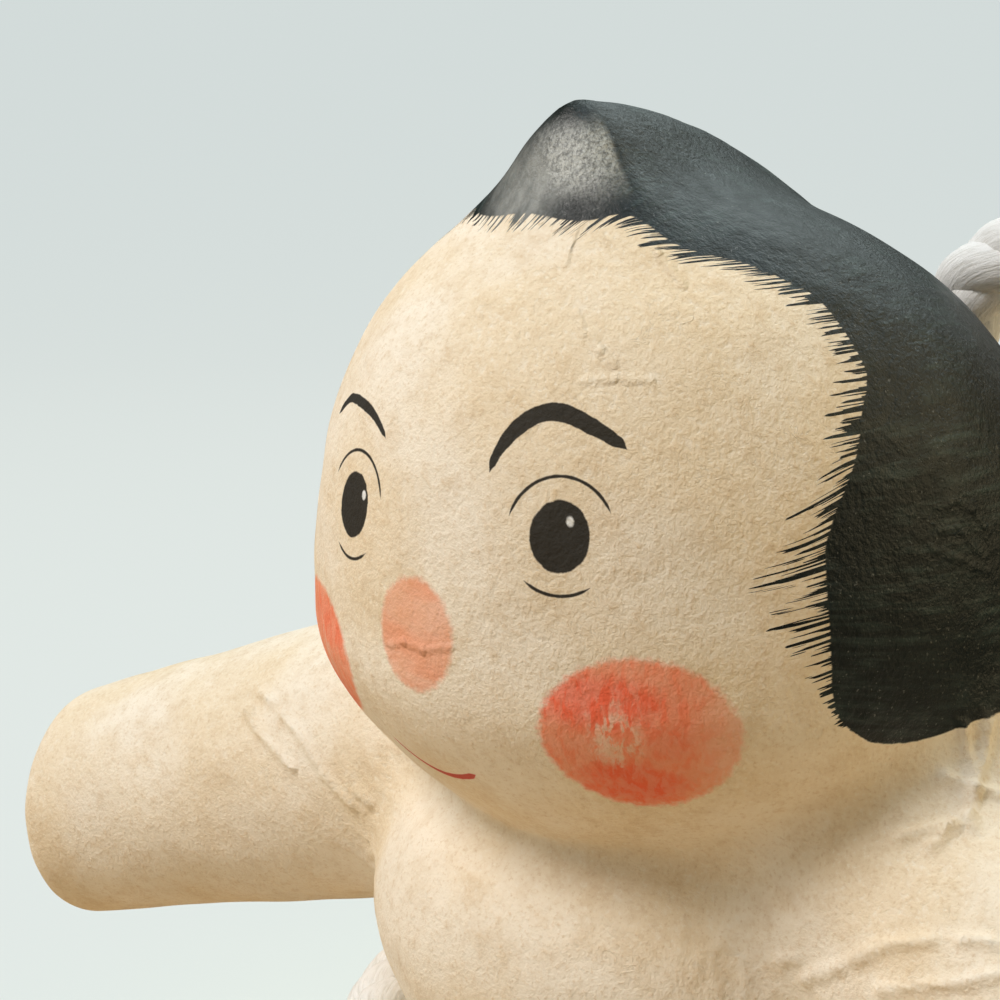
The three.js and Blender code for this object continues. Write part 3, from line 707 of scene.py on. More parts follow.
class Finish(Graph):
    """A material whose patterns are laid out in millimetres round the doll's axis."""

    def __init__(self, name, rough=0.8, shine=0.3):
        self.material = bpy.data.materials.new(name)
        self.material.use_nodes = True
        super().__init__(self.material.node_tree)
        self.shader = self.tree.nodes["Principled BSDF"]
        self.shader.inputs["Roughness"].default_value = rough
        self.shader.inputs["Specular IOR Level"].default_value = shine
        here = self.add("ShaderNodeTexCoord").outputs["Object"]
        self.here = self.scaled(self.vector("SUBTRACT", here, (0, AXIS_Y, 0)), 1 / MM)

    def noise(self, where, scale, detail=3.0, rough=0.55, warp=0.0):
        """Cloudy noise from 0 to 1; the scale is in waves per millimetre."""
        inputs = {"Vector": where, "Scale": scale, "Detail": detail, "Roughness": rough, "Distortion": warp}
        return self.add("ShaderNodeTexNoise", inputs).outputs[0]

    def rise(self, value, low, high, to_low=0.0, to_high=1.0):
        """Smooth rise between two values, or fall where low is above high."""
        inputs = {0: value, 1: low, 2: high, 3: to_low, 4: to_high}
        return self.add("ShaderNodeMapRange", inputs, interpolation_type="SMOOTHSTEP").outputs[0]

    def blend(self, share, first, second):
        """One colour over another."""
        return self.add("ShaderNodeMix", {0: share, 6: first, 7: second}, data_type="RGBA").outputs[2]

    def curve(self, value, points):
        """A drawn curve through points, in the points' own units."""
        (x0, x1), (y0, y1) = ((min(axis), max(axis)) for axis in zip(*points))
        share = self.add("ShaderNodeMapRange", {0: value, 1: x0, 2: x1}).outputs[0]
        node = self.add("ShaderNodeFloatCurve", {1: share})
        drawn = node.mapping.curves[0].points
        for spot, (x, y) in zip((drawn[0], drawn[1]), (points[0], points[-1])):
            spot.location = ((x - x0) / (x1 - x0), (y - y0) / (y1 - y0))
        for x, y in points[1:-1]:
            drawn.new((x - x0) / (x1 - x0), (y - y0) / (y1 - y0))
        node.mapping.update()
        return self.add("ShaderNodeMapRange", {0: node.outputs[0], 3: y0, 4: y1}).outputs[0]

    def bump(self, height, distance):
        """Normal of a fine relief whose height from 0 to 1 stands for this many millimetres."""
        return self.add("ShaderNodeBump", {"Height": height, "Distance": distance * MM}).outputs[0]

    def finish(self, **sockets):
        """Joins the shader's sockets and gives the material back."""
        for key, value in sockets.items():
            self.join(self.shader.inputs[key.replace("_", " ")], value)
        return self.material


def pasted_paper(finish, colours):
    """Colour and relief of hand-pasted paper: soft clouds, fine grain and a few loose fibres."""
    here = finish.here
    cloud = finish.noise(here, 0.06, 3, 0.5)
    mottle = finish.noise(here, 0.34, 4, 0.6)
    grain = finish.noise(here, 2.6, 3, 0.65)
    loose = finish.math("ABSOLUTE", finish.math("SUBTRACT", finish.noise(here, 0.7, 1, 0.5, 1.0), 0.5))
    patch = finish.rise(finish.noise(here, 0.24, 2), 0.57, 0.64)
    fibre = finish.math("MULTIPLY", finish.rise(loose, 0.011, 0.0), patch)
    shade = finish.blend(finish.rise(cloud, 0.36, 0.66), colours.paper_pale, colours.paper)
    stain = finish.math("MULTIPLY", finish.rise(mottle, 0.42, 0.78), 0.36)
    shade = finish.blend(stain, shade, colours.paper_stain)
    curd = finish.noise(here, 0.95, 4, 0.6)
    for pulp, share in ((curd, 0.34), (grain, 0.45)):
        shade = finish.blend(finish.rise(pulp, 0.52, 0.74, 0.0, share), shade, colours.paper_stain)
        shade = finish.blend(finish.rise(pulp, 0.46, 0.28, 0.0, share + 0.2), shade, colours.paper_pale)
    shade = finish.blend(finish.math("MULTIPLY", fibre, 0.4), shade, colours.paper_pale)
    height = finish.math("ADD", finish.math("MULTIPLY", grain, 0.6), finish.math("MULTIPLY", mottle, 0.5))
    height = finish.math("MULTIPLY_ADD", curd, 0.9, height)
    return shade, finish.math("MULTIPLY_ADD", fibre, 0.14, height)


def skin_finish(colours):
    """Bare pasted paper."""
    finish = Finish("bare pasted paper", 0.82, 0.25)
    shade, height = pasted_paper(finish, colours)
    return finish.finish(Base_Color=shade, Normal=finish.bump(height, 0.19))


class HeadChart:
    """Sockets that measure places on the painted head in millimetres, and unevenness of the paint there."""

    EDGE = 0.06
    FOLD_WIDTH = 0.62
    FOLD_WOBBLE = 0.6

    def __init__(self, finish, radius):
        self.finish = finish
        self.x, y, self.level = finish.apart(finish.here)
        self.ahead = finish.math("MULTIPLY", y, -1.0)
        turn = finish.math("ARCTAN2", self.x, self.ahead)
        self.girth = finish.math("MULTIPLY", turn, radius / MM)
        self.wobble = finish.math("SUBTRACT", finish.noise(finish.here, 1.4, 3, 0.6), 0.5)
        self.patch = finish.noise(finish.vector("MULTIPLY", finish.here, (0.7, 0.7, 1.4)), 0.24, 4, 0.55, 0.4)
        self.dry = finish.noise(finish.vector("MULTIPLY", finish.here, (1.5, 1.5, 0.6)), 0.8, 3, 0.6, 0.5)

    def offset(self, centre, mirrored=False):
        """Sideways and upward distance from a place on the chart."""
        aside = self.finish.math("SUBTRACT", self.girth, centre[0] / MM)
        if mirrored:
            aside = self.finish.math("MULTIPLY", aside, -1.0)
        return aside, self.finish.math("SUBTRACT", self.level, centre[1] / MM)

    def dab(self, centre, width, height, soft, ragged):
        """Mask of an oval dab of paint with a soft, uneven edge."""
        f = self.finish
        aside, up = self.offset(centre)
        reach = f.reach(f.math("DIVIDE", aside, width / MM), f.math("DIVIDE", up, height / MM))
        inside = f.math("MULTIPLY", f.math("SUBTRACT", 1.0, reach), min(width, height) / MM)
        return f.rise(f.math("MULTIPLY_ADD", self.wobble, ragged, inside), -soft, soft)

    def fold(self, start, end):
        """Ridge along a straight fold between two places."""
        f = self.finish
        aside, up = self.offset((start[0] * MM, start[1] * MM))
        run = (end[0] - start[0], end[1] - start[1])
        square = run[0] ** 2 + run[1] ** 2
        along = f.math("MULTIPLY_ADD", aside, run[0] / square, f.math("MULTIPLY", up, run[1] / square))
        along = f.math("MINIMUM", f.math("MAXIMUM", along, 0.0), 1.0)
        away = f.reach(
            f.math("MULTIPLY_ADD", along, -run[0], aside),
            f.math("MULTIPLY_ADD", along, -run[1], up),
        )
        return f.rise(f.math("MULTIPLY_ADD", self.wobble, self.FOLD_WOBBLE, away), self.FOLD_WIDTH, 0.0)

    def arc(self, centre, mirrored, bend, half, angles, taper, ragged):
        """Mask of a bent brush line; bend and half width are numbers, or points of a curve by the angle."""
        f = self.finish
        aside, up = self.offset(centre, mirrored)
        turn = f.math("DEGREES", f.math("ARCTAN2", up, aside))
        radius, width = (f.curve(turn, size) if isinstance(size, tuple) else size for size in (bend, half))
        away = f.math("ABSOLUTE", f.math("SUBTRACT", f.reach(aside, up), radius))
        start, end = angles
        ends = f.math("MULTIPLY", f.rise(turn, start, start + taper), f.rise(turn, end, end - taper))
        inside = f.math("SUBTRACT", f.math("MULTIPLY", ends, width), away)
        inside = f.math("MULTIPLY_ADD", self.wobble, ragged, inside)
        return f.math("MULTIPLY", f.rise(inside, -self.EDGE, self.EDGE), f.rise(ends, 0.02, 0.1))


# Folds of the pasted paper on the head's chart, in millimetres
HEAD_FOLDS = (
    ((14.2, 113.9), (17.2, 114.2), (20.6, 114.1)),
    ((12.2, 118.8), (13.5, 117.4)),
    ((14.1, 117.4), (15.4, 116.2), (16.9, 115.1)),
    ((-4.1, 90.0), (-1.9, 90.8), (0.6, 90.6), (3.8, 91.5)),
    ((17.6, 125.6), (19.7, 123.6), (23.0, 121.2)),
    ((8.6, 125.1), (8.7, 123.9), (8.9, 122.7)),
    ((46.1, 103.7), (48.5, 104.0), (50.4, 103.0), (51.8, 101.5), (52.5, 99.5)),
    ((45.1, 100.6), (47.2, 99.7), (50.0, 98.5), (51.9, 97.8)),
    ((46.3, 101.9), (48.4, 101.8), (50.2, 100.0), (51.4, 99.2)),
    ((-46.0, 107.0), (-51.0, 103.0)),
    ((70.0, 118.0), (82.0, 114.0), (90.0, 115.5)),
    ((-78.0, 98.0), (-88.0, 101.0)),
)

# Brush lines of the face: bend and half width in millimetres by the angle, and the angles of both ends
BROW_BENDS = {
    "left": ((30, 8.3), (37, 8.0), (52, 7.45), (66, 7.2), (97, 7.43), (119, 7.1), (138, 6.7), (165, 6.15)),
    "right": ((30, 8.6), (41, 8.4), (56, 8.15), (74, 7.4), (99, 6.9), (120, 6.95), (139, 7.3), (165, 7.8)),
}
BROW_HALVES = {
    "left": ((30, 0.32), (52, 0.56), (90, 0.72), (119, 0.72), (142, 0.50), (165, 0.22)),
    "right": ((30, 0.30), (56, 0.42), (90, 0.46), (120, 0.34), (142, 0.20), (165, 0.1)),
}
BROW_ANGLES = {"left": (36, 160), "right": (36, 142)}
UPPER_LID_ANGLES = (24, 167)
LOWER_LID_ANGLES = (-130, -52)
MOUTH_ANGLES = (-122, -63)
MOUTH_HALF = ((-125, 0.16), (-100, 0.20), (-80, 0.27), (-60, 0.34))

# Dabs of a cheek in millimetres from its middle: outward, up, half width, half height, soft and ragged edge
CHEEK_UPPER = (-3.2, 3.0, 5.6, 2.2, 0.9, 1.6)
CHEEK_LOWER = (-0.7, -4.4, 4.4, 2.2, 0.9, 1.6)
CHEEK_OUTER = (2.4, 0.6, 2.0, 3.4, 1.6, 1.6)
CHEEK_BARE = (-1.9, 0.2, 1.8, 2.5, 1.6, 4.0)

# Hair by the angle of a spoke from the temples over the crown: edge of the hair in degrees from the front,
# length of the brush strokes in millimetres and their slant; and the hair's lower edge round the head
HAIRLINE = (
    (-30, 66.0), (-20.7, 58.5), (-15.4, 56.4), (-9.1, 55.0), (-4.2, 54.3), (0.7, 54.3), (5.7, 55.6),
    (11.8, 58.9), (17.1, 61.7), (21.5, 63.5), (25.8, 66.2), (28.6, 67.1), (33.6, 67.0), (38.4, 66.6),
    (46.5, 63.1), (52.8, 59.6), (56.8, 56.7), (63.0, 53.9), (68.9, 53.6), (77.0, 49.3), (83.1, 48.2),
    (90.0, 48.3),
)
HAIR_STROKE = (
    (-30, 0.8), (-21.5, 1.3), (-18, 2.2), (-13.5, 4.8), (-3, 6.4), (2, 5.0), (7.5, 4.3), (15, 3.4),
    (22, 4.0), (36, 3.6), (48, 3.5), (62, 2.5), (75, 2.4), (90, 2.2),
)
HAIR_SLANT = (
    (-30, 0.6), (-18, 0.5), (-10, 0.42), (-4, 0.33), (1, 0.35), (7.5, 0.55), (13, 0.4), (20, -0.05),
    (36, -0.15), (50, -0.5), (63, -0.85), (75, -0.7), (90, -0.6), (111, -0.9), (130, -0.4), (155, -0.3),
    (210, -0.4),
)
HAIR_BOTTOM = (
    (48, 88.5), (59, 86.4), (65, 84.7), (69, 84.6), (79, 85.7), (95, 86.5), (130, 82.0), (180, 76.0),
)
HAIR_CORNER = 2.0
HAIR_EDGE = 0.09
STROKE_ROOT = 0.12

# Painted highlight and painted sheen on the topknot's front, and a dab where the black is kept, in
# millimetres: aside, level, half width, half height, outer and inner share
HIGHLIGHT_PATCH = (2.8, 131.0, 6.6, 4.8, 1.2, 0.1)
SHEEN_FLANK = (-1.6, 128.6, 5.5, 4.5, 1.3, 0.3)
PAINTED_DAB = (4.2, 126.4, 3.0, 2.0, 1.2, 0.2)
PAINTED_TIP = (135.2, 132.8)
KNOT_FRONT_EDGE = (-2.9, -2.1)


def hair_paint(chart, face, radius):
    """Mask of the painted hair, and the brush's way over the head as flat coordinates."""
    f = chart.finish
    lifted = f.math("SUBTRACT", chart.level, face.hair_level / MM)
    aside = f.math("ABSOLUTE", chart.x)
    spoke = f.math("DEGREES", f.math("ARCTAN2", lifted, aside))
    around = f.math("DEGREES", f.math("ARCTAN2", lifted, chart.x))
    around = f.math("SUBTRACT", f.math("FLOORED_MODULO", f.math("ADD", around, 90.0), 360.0), 90.0)
    whole = f.vector("SUBTRACT", f.here, (0, 0, face.hair_level / MM))
    reach = f.add("ShaderNodeVectorMath", {0: whole}, operation="LENGTH").outputs["Value"]
    away = f.math("DEGREES", f.math("ARCCOSINE", f.math("DIVIDE", chart.ahead, reach)))
    per_degree = math.radians(radius / MM)
    across = f.math("MULTIPLY", around, per_degree)
    along = f.math("MULTIPLY", away, per_degree)
    front = f.math("MULTIPLY", f.math("SUBTRACT", away, f.curve(spoke, HAIRLINE)), per_degree)
    comb = f.math("SUBTRACT", across, f.math("MULTIPLY", f.curve(around, HAIR_SLANT), front))
    bristles = f.combined(f.math("MULTIPLY", comb, 2.5), f.math("MULTIPLY", along, 0.08))
    tufts = f.combined(f.math("MULTIPLY", comb, 0.8), 7.0)
    bristle = f.rise(f.noise(bristles, 1.0, 2, 0.6), 0.45, 0.56)
    tip = f.math("MULTIPLY", bristle, f.rise(f.noise(tufts, 1.0, 2, 0.7), 0.32, 0.64, 0.25, 1.0))
    stroke = f.curve(spoke, HAIR_STROKE)
    front = f.math("MULTIPLY_ADD", f.math("SUBTRACT", tip, STROKE_ROOT), stroke, front)
    turn = f.math("DEGREES", f.math("ARCTAN2", aside, chart.ahead))
    bottom = f.math("SUBTRACT", chart.level, f.curve(turn, HAIR_BOTTOM))
    bottom = f.math("MULTIPLY_ADD", chart.wobble, 0.3, bottom)
    edge = f.math("SMOOTH_MIN", front, bottom, HAIR_CORNER)
    return f.rise(edge, -HAIR_EDGE, HAIR_EDGE), across, along


def cheek_paint(chart, face, colours, shade, centre, out, tall, full):
    """A red cheek: strong and thin dabs, a bare spot, a thin outer edge and dry strokes of the brush."""
    f = chart.finish

    def dab(aside, up, wide, high, soft, ragged):
        """A dab beside the middle of the cheek."""
        middle = (centre[0] + out * aside * MM, centre[1] + up * MM)
        return chart.dab(middle, wide * MM, high * MM, soft, ragged)

    bands = f.math("MAXIMUM", dab(*CHEEK_UPPER), dab(*CHEEK_LOWER))
    bands = f.math("MAXIMUM", bands, f.math("MULTIPLY", dab(*CHEEK_OUTER), 0.4))
    strong = f.math("MULTIPLY", bands, f.rise(chart.patch, 0.25, 0.6, 0.5 * full, full))
    red = f.blend(strong, colours.cheek_thin, colours.cheek)
    bare = f.math("MULTIPLY", dab(*CHEEK_BARE), f.rise(chart.dry, 0.42, 0.56))
    outward = f.math("MULTIPLY", chart.offset(centre)[0], out * MM / face.cheek_width)
    cover = f.product(
        chart.dab(centre, face.cheek_width, tall * face.cheek_height, 0.4, 1.1),
        f.rise(outward, 0.45, 0.9, 0.94, 0.6),
        f.rise(bare, 0.0, 1.0, 1.0, 1.0 - 0.55 * full),
        f.rise(chart.dry, 0.35, 0.6, 1.0, 0.82),
    )
    return f.blend(cover, shade, red)


def eye_paint(chart, face, colours, shade, side):
    """Pupil with a white glint, the lines of both lids, and the brow."""
    f = chart.finish
    mirrored = side == "right"
    eye, brow, glint = (getattr(face, f"{side}_{mark}") for mark in ("eye", "brow", "glint"))
    lid, line = face.lid_radius / MM, face.lid_line / MM
    marks = (
        chart.dab(eye, face.pupil_width, face.pupil_height, 0.08, 0.3),
        chart.arc(eye, mirrored, lid, line, UPPER_LID_ANGLES, 14, 0.1),
        chart.arc(eye, mirrored, lid, line, LOWER_LID_ANGLES, 14, 0.1),
        chart.arc(brow, mirrored, BROW_BENDS[side], BROW_HALVES[side], BROW_ANGLES[side], 9, 0.2),
    )
    for mark in marks:
        shade = f.blend(f.math("MULTIPLY", mark, 0.96), shade, colours.ink)
    dot = chart.dab(glint, face.glint_width, face.glint_height, 0.1, 0.25)
    return f.blend(f.math("MULTIPLY", dot, 0.9), shade, colours.rope)


def face_paint(chart, face, colours, shade):
    """Cheeks, nose, mouth, eyes and brows over the paper's colour."""
    f = chart.finish
    shade = cheek_paint(chart, face, colours, shade, face.left_cheek, 1, 1.0, 1.0)
    shade = cheek_paint(chart, face, colours, shade, face.right_cheek, -1, 0.9, 0.45)
    nose = chart.dab(face.nose, 0.96 * face.nose_radius, 1.04 * face.nose_radius, 0.4, 0.9)
    shade = f.blend(f.math("MULTIPLY", nose, f.rise(chart.patch, 0.3, 0.7, 0.85, 0.6)), shade, colours.nose)
    smile = chart.arc(face.mouth, False, face.mouth_radius / MM, MOUTH_HALF, MOUTH_ANGLES, 5, 0.1)
    shade = f.blend(f.math("MULTIPLY", smile, 0.92), shade, colours.mouth)
    for side in ("left", "right"):
        shade = eye_paint(chart, face, colours, shade, side)
    return shade


def knot_front(chart, s):
    """Mask of the topknot's steep front."""
    f = chart.finish
    ahead = f.math("MULTIPLY", f.math("ADD", chart.ahead, s.knot_front / MM), math.sin(s.knot_face))
    above = f.math("MULTIPLY", f.math("SUBTRACT", chart.level, s.knot_level / MM), math.cos(s.knot_face))
    return f.rise(f.math("ADD", ahead, above), *KNOT_FRONT_EDGE)


def knot_highlight(chart, s):
    """How much painted highlight lies on the topknot's front: a grainy pale patch, and a painted sheen on its
    flank.
    """
    f = chart.finish
    grain = f.noise(f.vector("MULTIPLY", f.here, (1.0, 1.0, 0.7)), 2.8, 4, 0.8)
    streak = f.noise(f.vector("MULTIPLY", f.here, (1.0, 1.0, 0.25)), 0.7, 3, 0.6)

    def near(x, level, wide, tall, outer, inner):
        """A soft spot seen from the front."""
        aside = f.math("DIVIDE", f.math("SUBTRACT", chart.x, x), wide)
        up = f.math("DIVIDE", f.math("SUBTRACT", chart.level, level), tall)
        return f.rise(f.reach(aside, up), outer, inner)

    patch = f.product(near(*HIGHLIGHT_PATCH), f.rise(grain, 0.34, 0.64, 0.3, 1.0), 0.95)
    flank = f.product(near(*SHEEN_FLANK), f.rise(streak, 0.3, 0.7, 0.45, 0.9), 0.6)
    return f.product(
        f.math("MAXIMUM", patch, flank),
        f.math("SUBTRACT", 1.0, near(*PAINTED_DAB)),
        f.rise(chart.level, *PAINTED_TIP),
        knot_front(chart, s),
    )


def head_finish(colours, face, paper_sizes):
    """Painted head: bare paper with a face, and hair brushed on in black."""
    f = Finish("painted head", 0.82, 0.3)
    radius = paper_sizes.head_radius
    chart = HeadChart(f, radius)
    paper, height = pasted_paper(f, colours)
    shade = face_paint(chart, face, colours, paper)
    hair, across, along = hair_paint(chart, face, radius)
    comb = f.combined(f.math("MULTIPLY", across, 1.2), f.math("MULTIPLY", along, 0.13))
    streak = f.noise(comb, 1.0, 4, 0.6)
    wear = f.noise(f.here, 0.14, 4, 0.6)
    worn = f.math("MULTIPLY", f.rise(streak, 0.40, 0.72), f.rise(wear, 0.40, 0.66))
    black = f.blend(f.math("MULTIPLY", worn, 0.75), colours.hair, colours.hair_worn)
    # Pale specks over the hair: partly dust and pinholes, partly painted sheen on the grain
    fleck = f.noise(f.here, 3.4, 1, 0.5)
    black = f.blend(f.rise(fleck, 0.66, 0.80, 0.0, 0.16), black, colours.hair_highlight_and_wear)
    # Painted highlight and painted sheen on the topknot's front
    black = f.blend(knot_highlight(chart, paper_sizes), black, colours.hair_highlight_and_wear)
    shade = f.blend(hair, shade, black)
    gloss = f.math("MULTIPLY_ADD", f.noise(f.here, 0.45, 5, 0.65), 0.5, 0.2)
    rough = f.add("ShaderNodeMix", {0: hair, 2: 0.82, 3: gloss}).outputs[0]
    shine = f.add("ShaderNodeMix", {0: hair, 2: 0.25, 3: 0.38}).outputs[0]
    brushed = f.math("MULTIPLY", hair, f.math("MULTIPLY", streak, 0.2))
    height = f.math("ADD", height, brushed)
    depth = f.rise(hair, 0.0, 1.0, 0.75, 0.3)
    for line in HEAD_FOLDS:
        for start, end in zip(line[:-1], line[1:]):
            height = f.math("MULTIPLY_ADD", chart.fold(start, end), depth, height)
    relief = f.bump(height, 0.19)
    return f.finish(Base_Color=shade, Roughness=rough, Specular_IOR_Level=shine, Normal=relief)


def strip_finish(colours):
    """Thin pasted strips inside the shells: paper with longer fibres."""
    f = Finish("thin pasted strip", 0.85, 0.2)
    shade, height = pasted_paper(f, colours)
    long_fibre = f.noise(f.vector("MULTIPLY", f.here, (0.2, 1.6, 0.2)), 1.0, 3, 0.6, 0.8)
    shade = f.blend(f.rise(long_fibre, 0.5, 0.8, 0.0, 0.4), shade, colours.paper_stain)
    return f.finish(Base_Color=shade, Normal=f.bump(height, 0.14))


def board_finish(colours):
    """Grey-brown cardboard with flecks."""
    f = Finish("grey board", 0.9, 0.15)
    fleck = f.noise(f.here, 1.8, 4, 0.7)
    layer = f.noise(f.vector("MULTIPLY", f.here, (0.3, 0.3, 5.0)), 1.0, 2, 0.5)
    shade = f.blend(f.rise(fleck, 0.4, 0.75), colours.board, colours.paper_stain)
    return f.finish(Base_Color=shade, Normal=f.bump(f.math("ADD", fleck, layer), 0.08))


def clay_finish(colours):
    """Dry pressed clay."""
    f = Finish("dry clay", 0.95, 0.1)
    lump = f.noise(f.here, 0.6, 6, 0.65)
    shade = f.blend(f.rise(lump, 0.35, 0.7), colours.clay, colours.board)
    return f.finish(Base_Color=shade, Normal=f.bump(lump, 0.4))


def cotton_finish(colours):
    """White cotton strands: fibres that run along each strand with a slight twist."""
    f = Finish("white cotton", 0.85, 0.2)
    along = f.add("ShaderNodeAttribute", attribute_name="along").outputs["Fac"]
    around = f.add("ShaderNodeAttribute", attribute_name="around").outputs["Fac"]
    turn = f.math("MULTIPLY", around, math.tau)
    run = f.math("MULTIPLY", along, 1 / MM)
    skew = f.math("MULTIPLY_ADD", run, 0.12, turn)
    ring = f.combined(
        f.math("MULTIPLY", f.math("COSINE", skew), 6.0),
        f.math("MULTIPLY", f.math("SINE", skew), 6.0),
        f.math("MULTIPLY", run, 0.35),
    )
    yarn = f.noise(ring, 1.0, 4, 0.65, 0.3)
    fuzz = f.noise(f.here, 3.0, 3, 0.6)
    shade = f.blend(f.rise(yarn, 0.55, 0.30), colours.rope, colours.rope_shade)
    height = f.math("MULTIPLY_ADD", fuzz, 0.4, yarn)
    return f.finish(Base_Color=shade, Normal=f.bump(height, 0.18), Sheen_Weight=0.2)


def streamer_finish(colours):
    """White folded paper with fine fibres."""
    f = Finish("white folded paper", 0.7, 0.3)
    cloud = f.noise(f.here, 0.4, 4, 0.6)
    fibre = f.noise(f.here, 1.6, 3, 0.6, 2.0)
    shade = f.blend(f.rise(fibre, 0.5, 0.75, 0.0, 0.7), colours.streamer, colours.streamer_shade)
    return f.finish(Base_Color=shade, Normal=f.bump(f.math("ADD", cloud, fibre), 0.07))


# Width of two threads of the cloth in millimetres
THREAD_PAIR = 0.62


def cloth_finish(colours):
    """Dark plain weave on the cloth's own flat map, in millimetres."""
    f = Finish("dark woven cotton", 0.9, 0.15)
    flat = f.add("ShaderNodeUVMap", uv_map="flat").outputs[0]
    flat = f.scaled(flat, 1 / MM)
    wave = math.tau / THREAD_PAIR
    warp, weft = (f.math("SINE", f.math("MULTIPLY", way, wave)) for way in f.apart(flat)[:2])
    weave = f.math("MULTIPLY", warp, weft)
    slub = f.noise(f.vector("MULTIPLY", flat, (0.25, 3.0, 0.0)), 1.0, 3, 0.6)
    fade = f.noise(f.here, 0.2, 5, 0.6)
    lift = f.rise(f.math("MULTIPLY_ADD", slub, 0.8, weave), 0.1, 1.2)
    worn = f.math("MULTIPLY", lift, f.rise(fade, 0.3, 0.7, 0.25, 0.8))
    shade = f.blend(worn, colours.cloth, colours.cloth_worn)
    relief = f.bump(f.math("MULTIPLY_ADD", slub, 0.5, weave), 0.06)
    return f.finish(Base_Color=shade, Normal=relief, Sheen_Weight=0.15)


# Geometry Nodes

def new_tree(name, inputs):
    """Empty tree with a geometry in and out, and these other inputs by name and socket kind."""
    tree = bpy.data.node_groups.new(name, "GeometryNodeTree")
    tree.interface.new_socket(name="Geometry", in_out="INPUT", socket_type="NodeSocketGeometry")
    tree.interface.new_socket(name="Geometry", in_out="OUTPUT", socket_type="NodeSocketGeometry")
    for key, kind in inputs.items():
        tree.interface.new_socket(name=key, in_out="INPUT", socket_type=f"NodeSocket{kind}")
    graph = Graph(tree)
    return graph, graph.add("NodeGroupInput").outputs


def close_tree(graph, geometry, material):
    """Ends a tree: smooth faces, real geometry, one material."""
    smooth = graph.add("GeometryNodeSetShadeSmooth", {"Geometry": geometry}).outputs[0]
    real = graph.add("GeometryNodeRealizeInstances", {"Geometry": smooth}).outputs[0]
    done = graph.add("GeometryNodeSetMaterial", {"Geometry": real, "Material": material}).outputs[0]
    graph.add("NodeGroupOutput", {"Geometry": done})
    return graph.tree


def rope_tree():
    """Strands laid round a path; each point of the path gives the rope's radius there."""
    g, given = new_tree("laid rope", {
        "Strands": "Int", "Turns": "Float", "Plumpness": "Float", "Sides": "Int", "Material": "Material",
    })
    radius = g.add("GeometryNodeInputRadius").outputs[0]
    along = g.add("GeometryNodeSplineParameter").outputs
    strands = {"Geometry": given["Geometry"], "Amount": given["Strands"]}
    copied = g.add("GeometryNodeDuplicateElements", strands, domain="SPLINE")
    share = g.math("DIVIDE", copied.outputs["Duplicate Index"], given["Strands"])
    turn = g.math("MULTIPLY", g.math("MULTIPLY_ADD", along["Factor"], given["Turns"], share), math.tau)
    normal = g.add("GeometryNodeInputNormal").outputs[0]
    tangent = g.add("GeometryNodeInputTangent").outputs[0]
    side = g.vector("CROSS_PRODUCT", tangent, normal)
    offset = g.vector("ADD", g.scaled(normal, g.math("COSINE", turn)), g.scaled(side, g.math("SINE", turn)))
    inset = g.math("MULTIPLY", radius, g.math("SUBTRACT", 1.0, given["Plumpness"]))
    moved = g.moved(copied.outputs[0], g.scaled(offset, inset))
    ring = g.add("GeometryNodeCurvePrimitiveCircle", {"Resolution": given["Sides"], "Radius": 1.0})
    tube = g.add("GeometryNodeCurveToMesh", {
        "Curve": g.marked(moved, "along", along["Length"]),
        "Profile Curve": g.marked(ring.outputs[0], "around", along["Factor"]),
        "Scale": g.math("MULTIPLY", radius, given["Plumpness"]),
        "Fill Caps": True,
    })
    return close_tree(g, tube.outputs[0], given["Material"])


# A fold's height over its place in the streamer, and the curl of its paper
FOLD_OVERLAP = 1.03
CURL_LENGTH = math.tau / 520
CURL_HEIGHT = 0.12 * MM


def streamer_tree():
    """Folds of paper that hang below each other, stepped to the side and leaning to and fro."""
    g, given = new_tree("folded streamer", {
        "Folds": "Int", "Width": "Float", "Height": "Float", "Step": "Float", "Slant": "Float",
        "Paper": "Float", "Lean": "Float", "Material": "Material",
    })
    down = g.math("MULTIPLY", given["Height"], -1.0)
    line = g.add("GeometryNodeMeshLine", {
        "Count": given["Folds"], "Start Location": g.combined(0.0, 0.0, g.math("MULTIPLY", down, 0.5)),
        "Offset": g.combined(0.0, 0.0, down),
    })
    index = g.add("GeometryNodeInputIndex").outputs[0]
    parity = g.math("SUBTRACT", g.math("MULTIPLY", g.math("MODULO", index, 2.0), 2.0), 1.0)
    step = g.math("MULTIPLY", parity, g.math("MULTIPLY", given["Step"], 0.5))
    placed = g.moved(line.outputs[0], g.combined(step, 0.0))
    size = g.combined(given["Width"], given["Paper"], g.math("MULTIPLY", given["Height"], FOLD_OVERLAP))
    fold = g.add("GeometryNodeMeshCube", {"Size": size, "Vertices X": 9, "Vertices Y": 2, "Vertices Z": 9})
    lean = g.combined(g.math("MULTIPLY", parity, given["Lean"]), 0.0)
    each = {"Points": placed, "Instance": fold.outputs[0], "Rotation": lean}
    spread = g.add("GeometryNodeInstanceOnPoints", each).outputs[0]
    real = g.add("GeometryNodeRealizeInstances", {"Geometry": spread}).outputs[0]
    aside, _, level = g.apart(g.add("GeometryNodeInputPosition").outputs[0])
    edge = g.math("ADD", g.math("DIVIDE", aside, given["Width"]), 0.5)
    hang = g.product(edge, given["Slant"], -1.0, g.math("DIVIDE", level, down, clamp=True))
    curl = g.math("MULTIPLY", g.math("SINE", g.math("MULTIPLY", aside, math.tau / CURL_LENGTH)), CURL_HEIGHT)
    bent = g.moved(real, g.combined(0.0, curl, hang))
    return close_tree(g, bent, given["Material"])


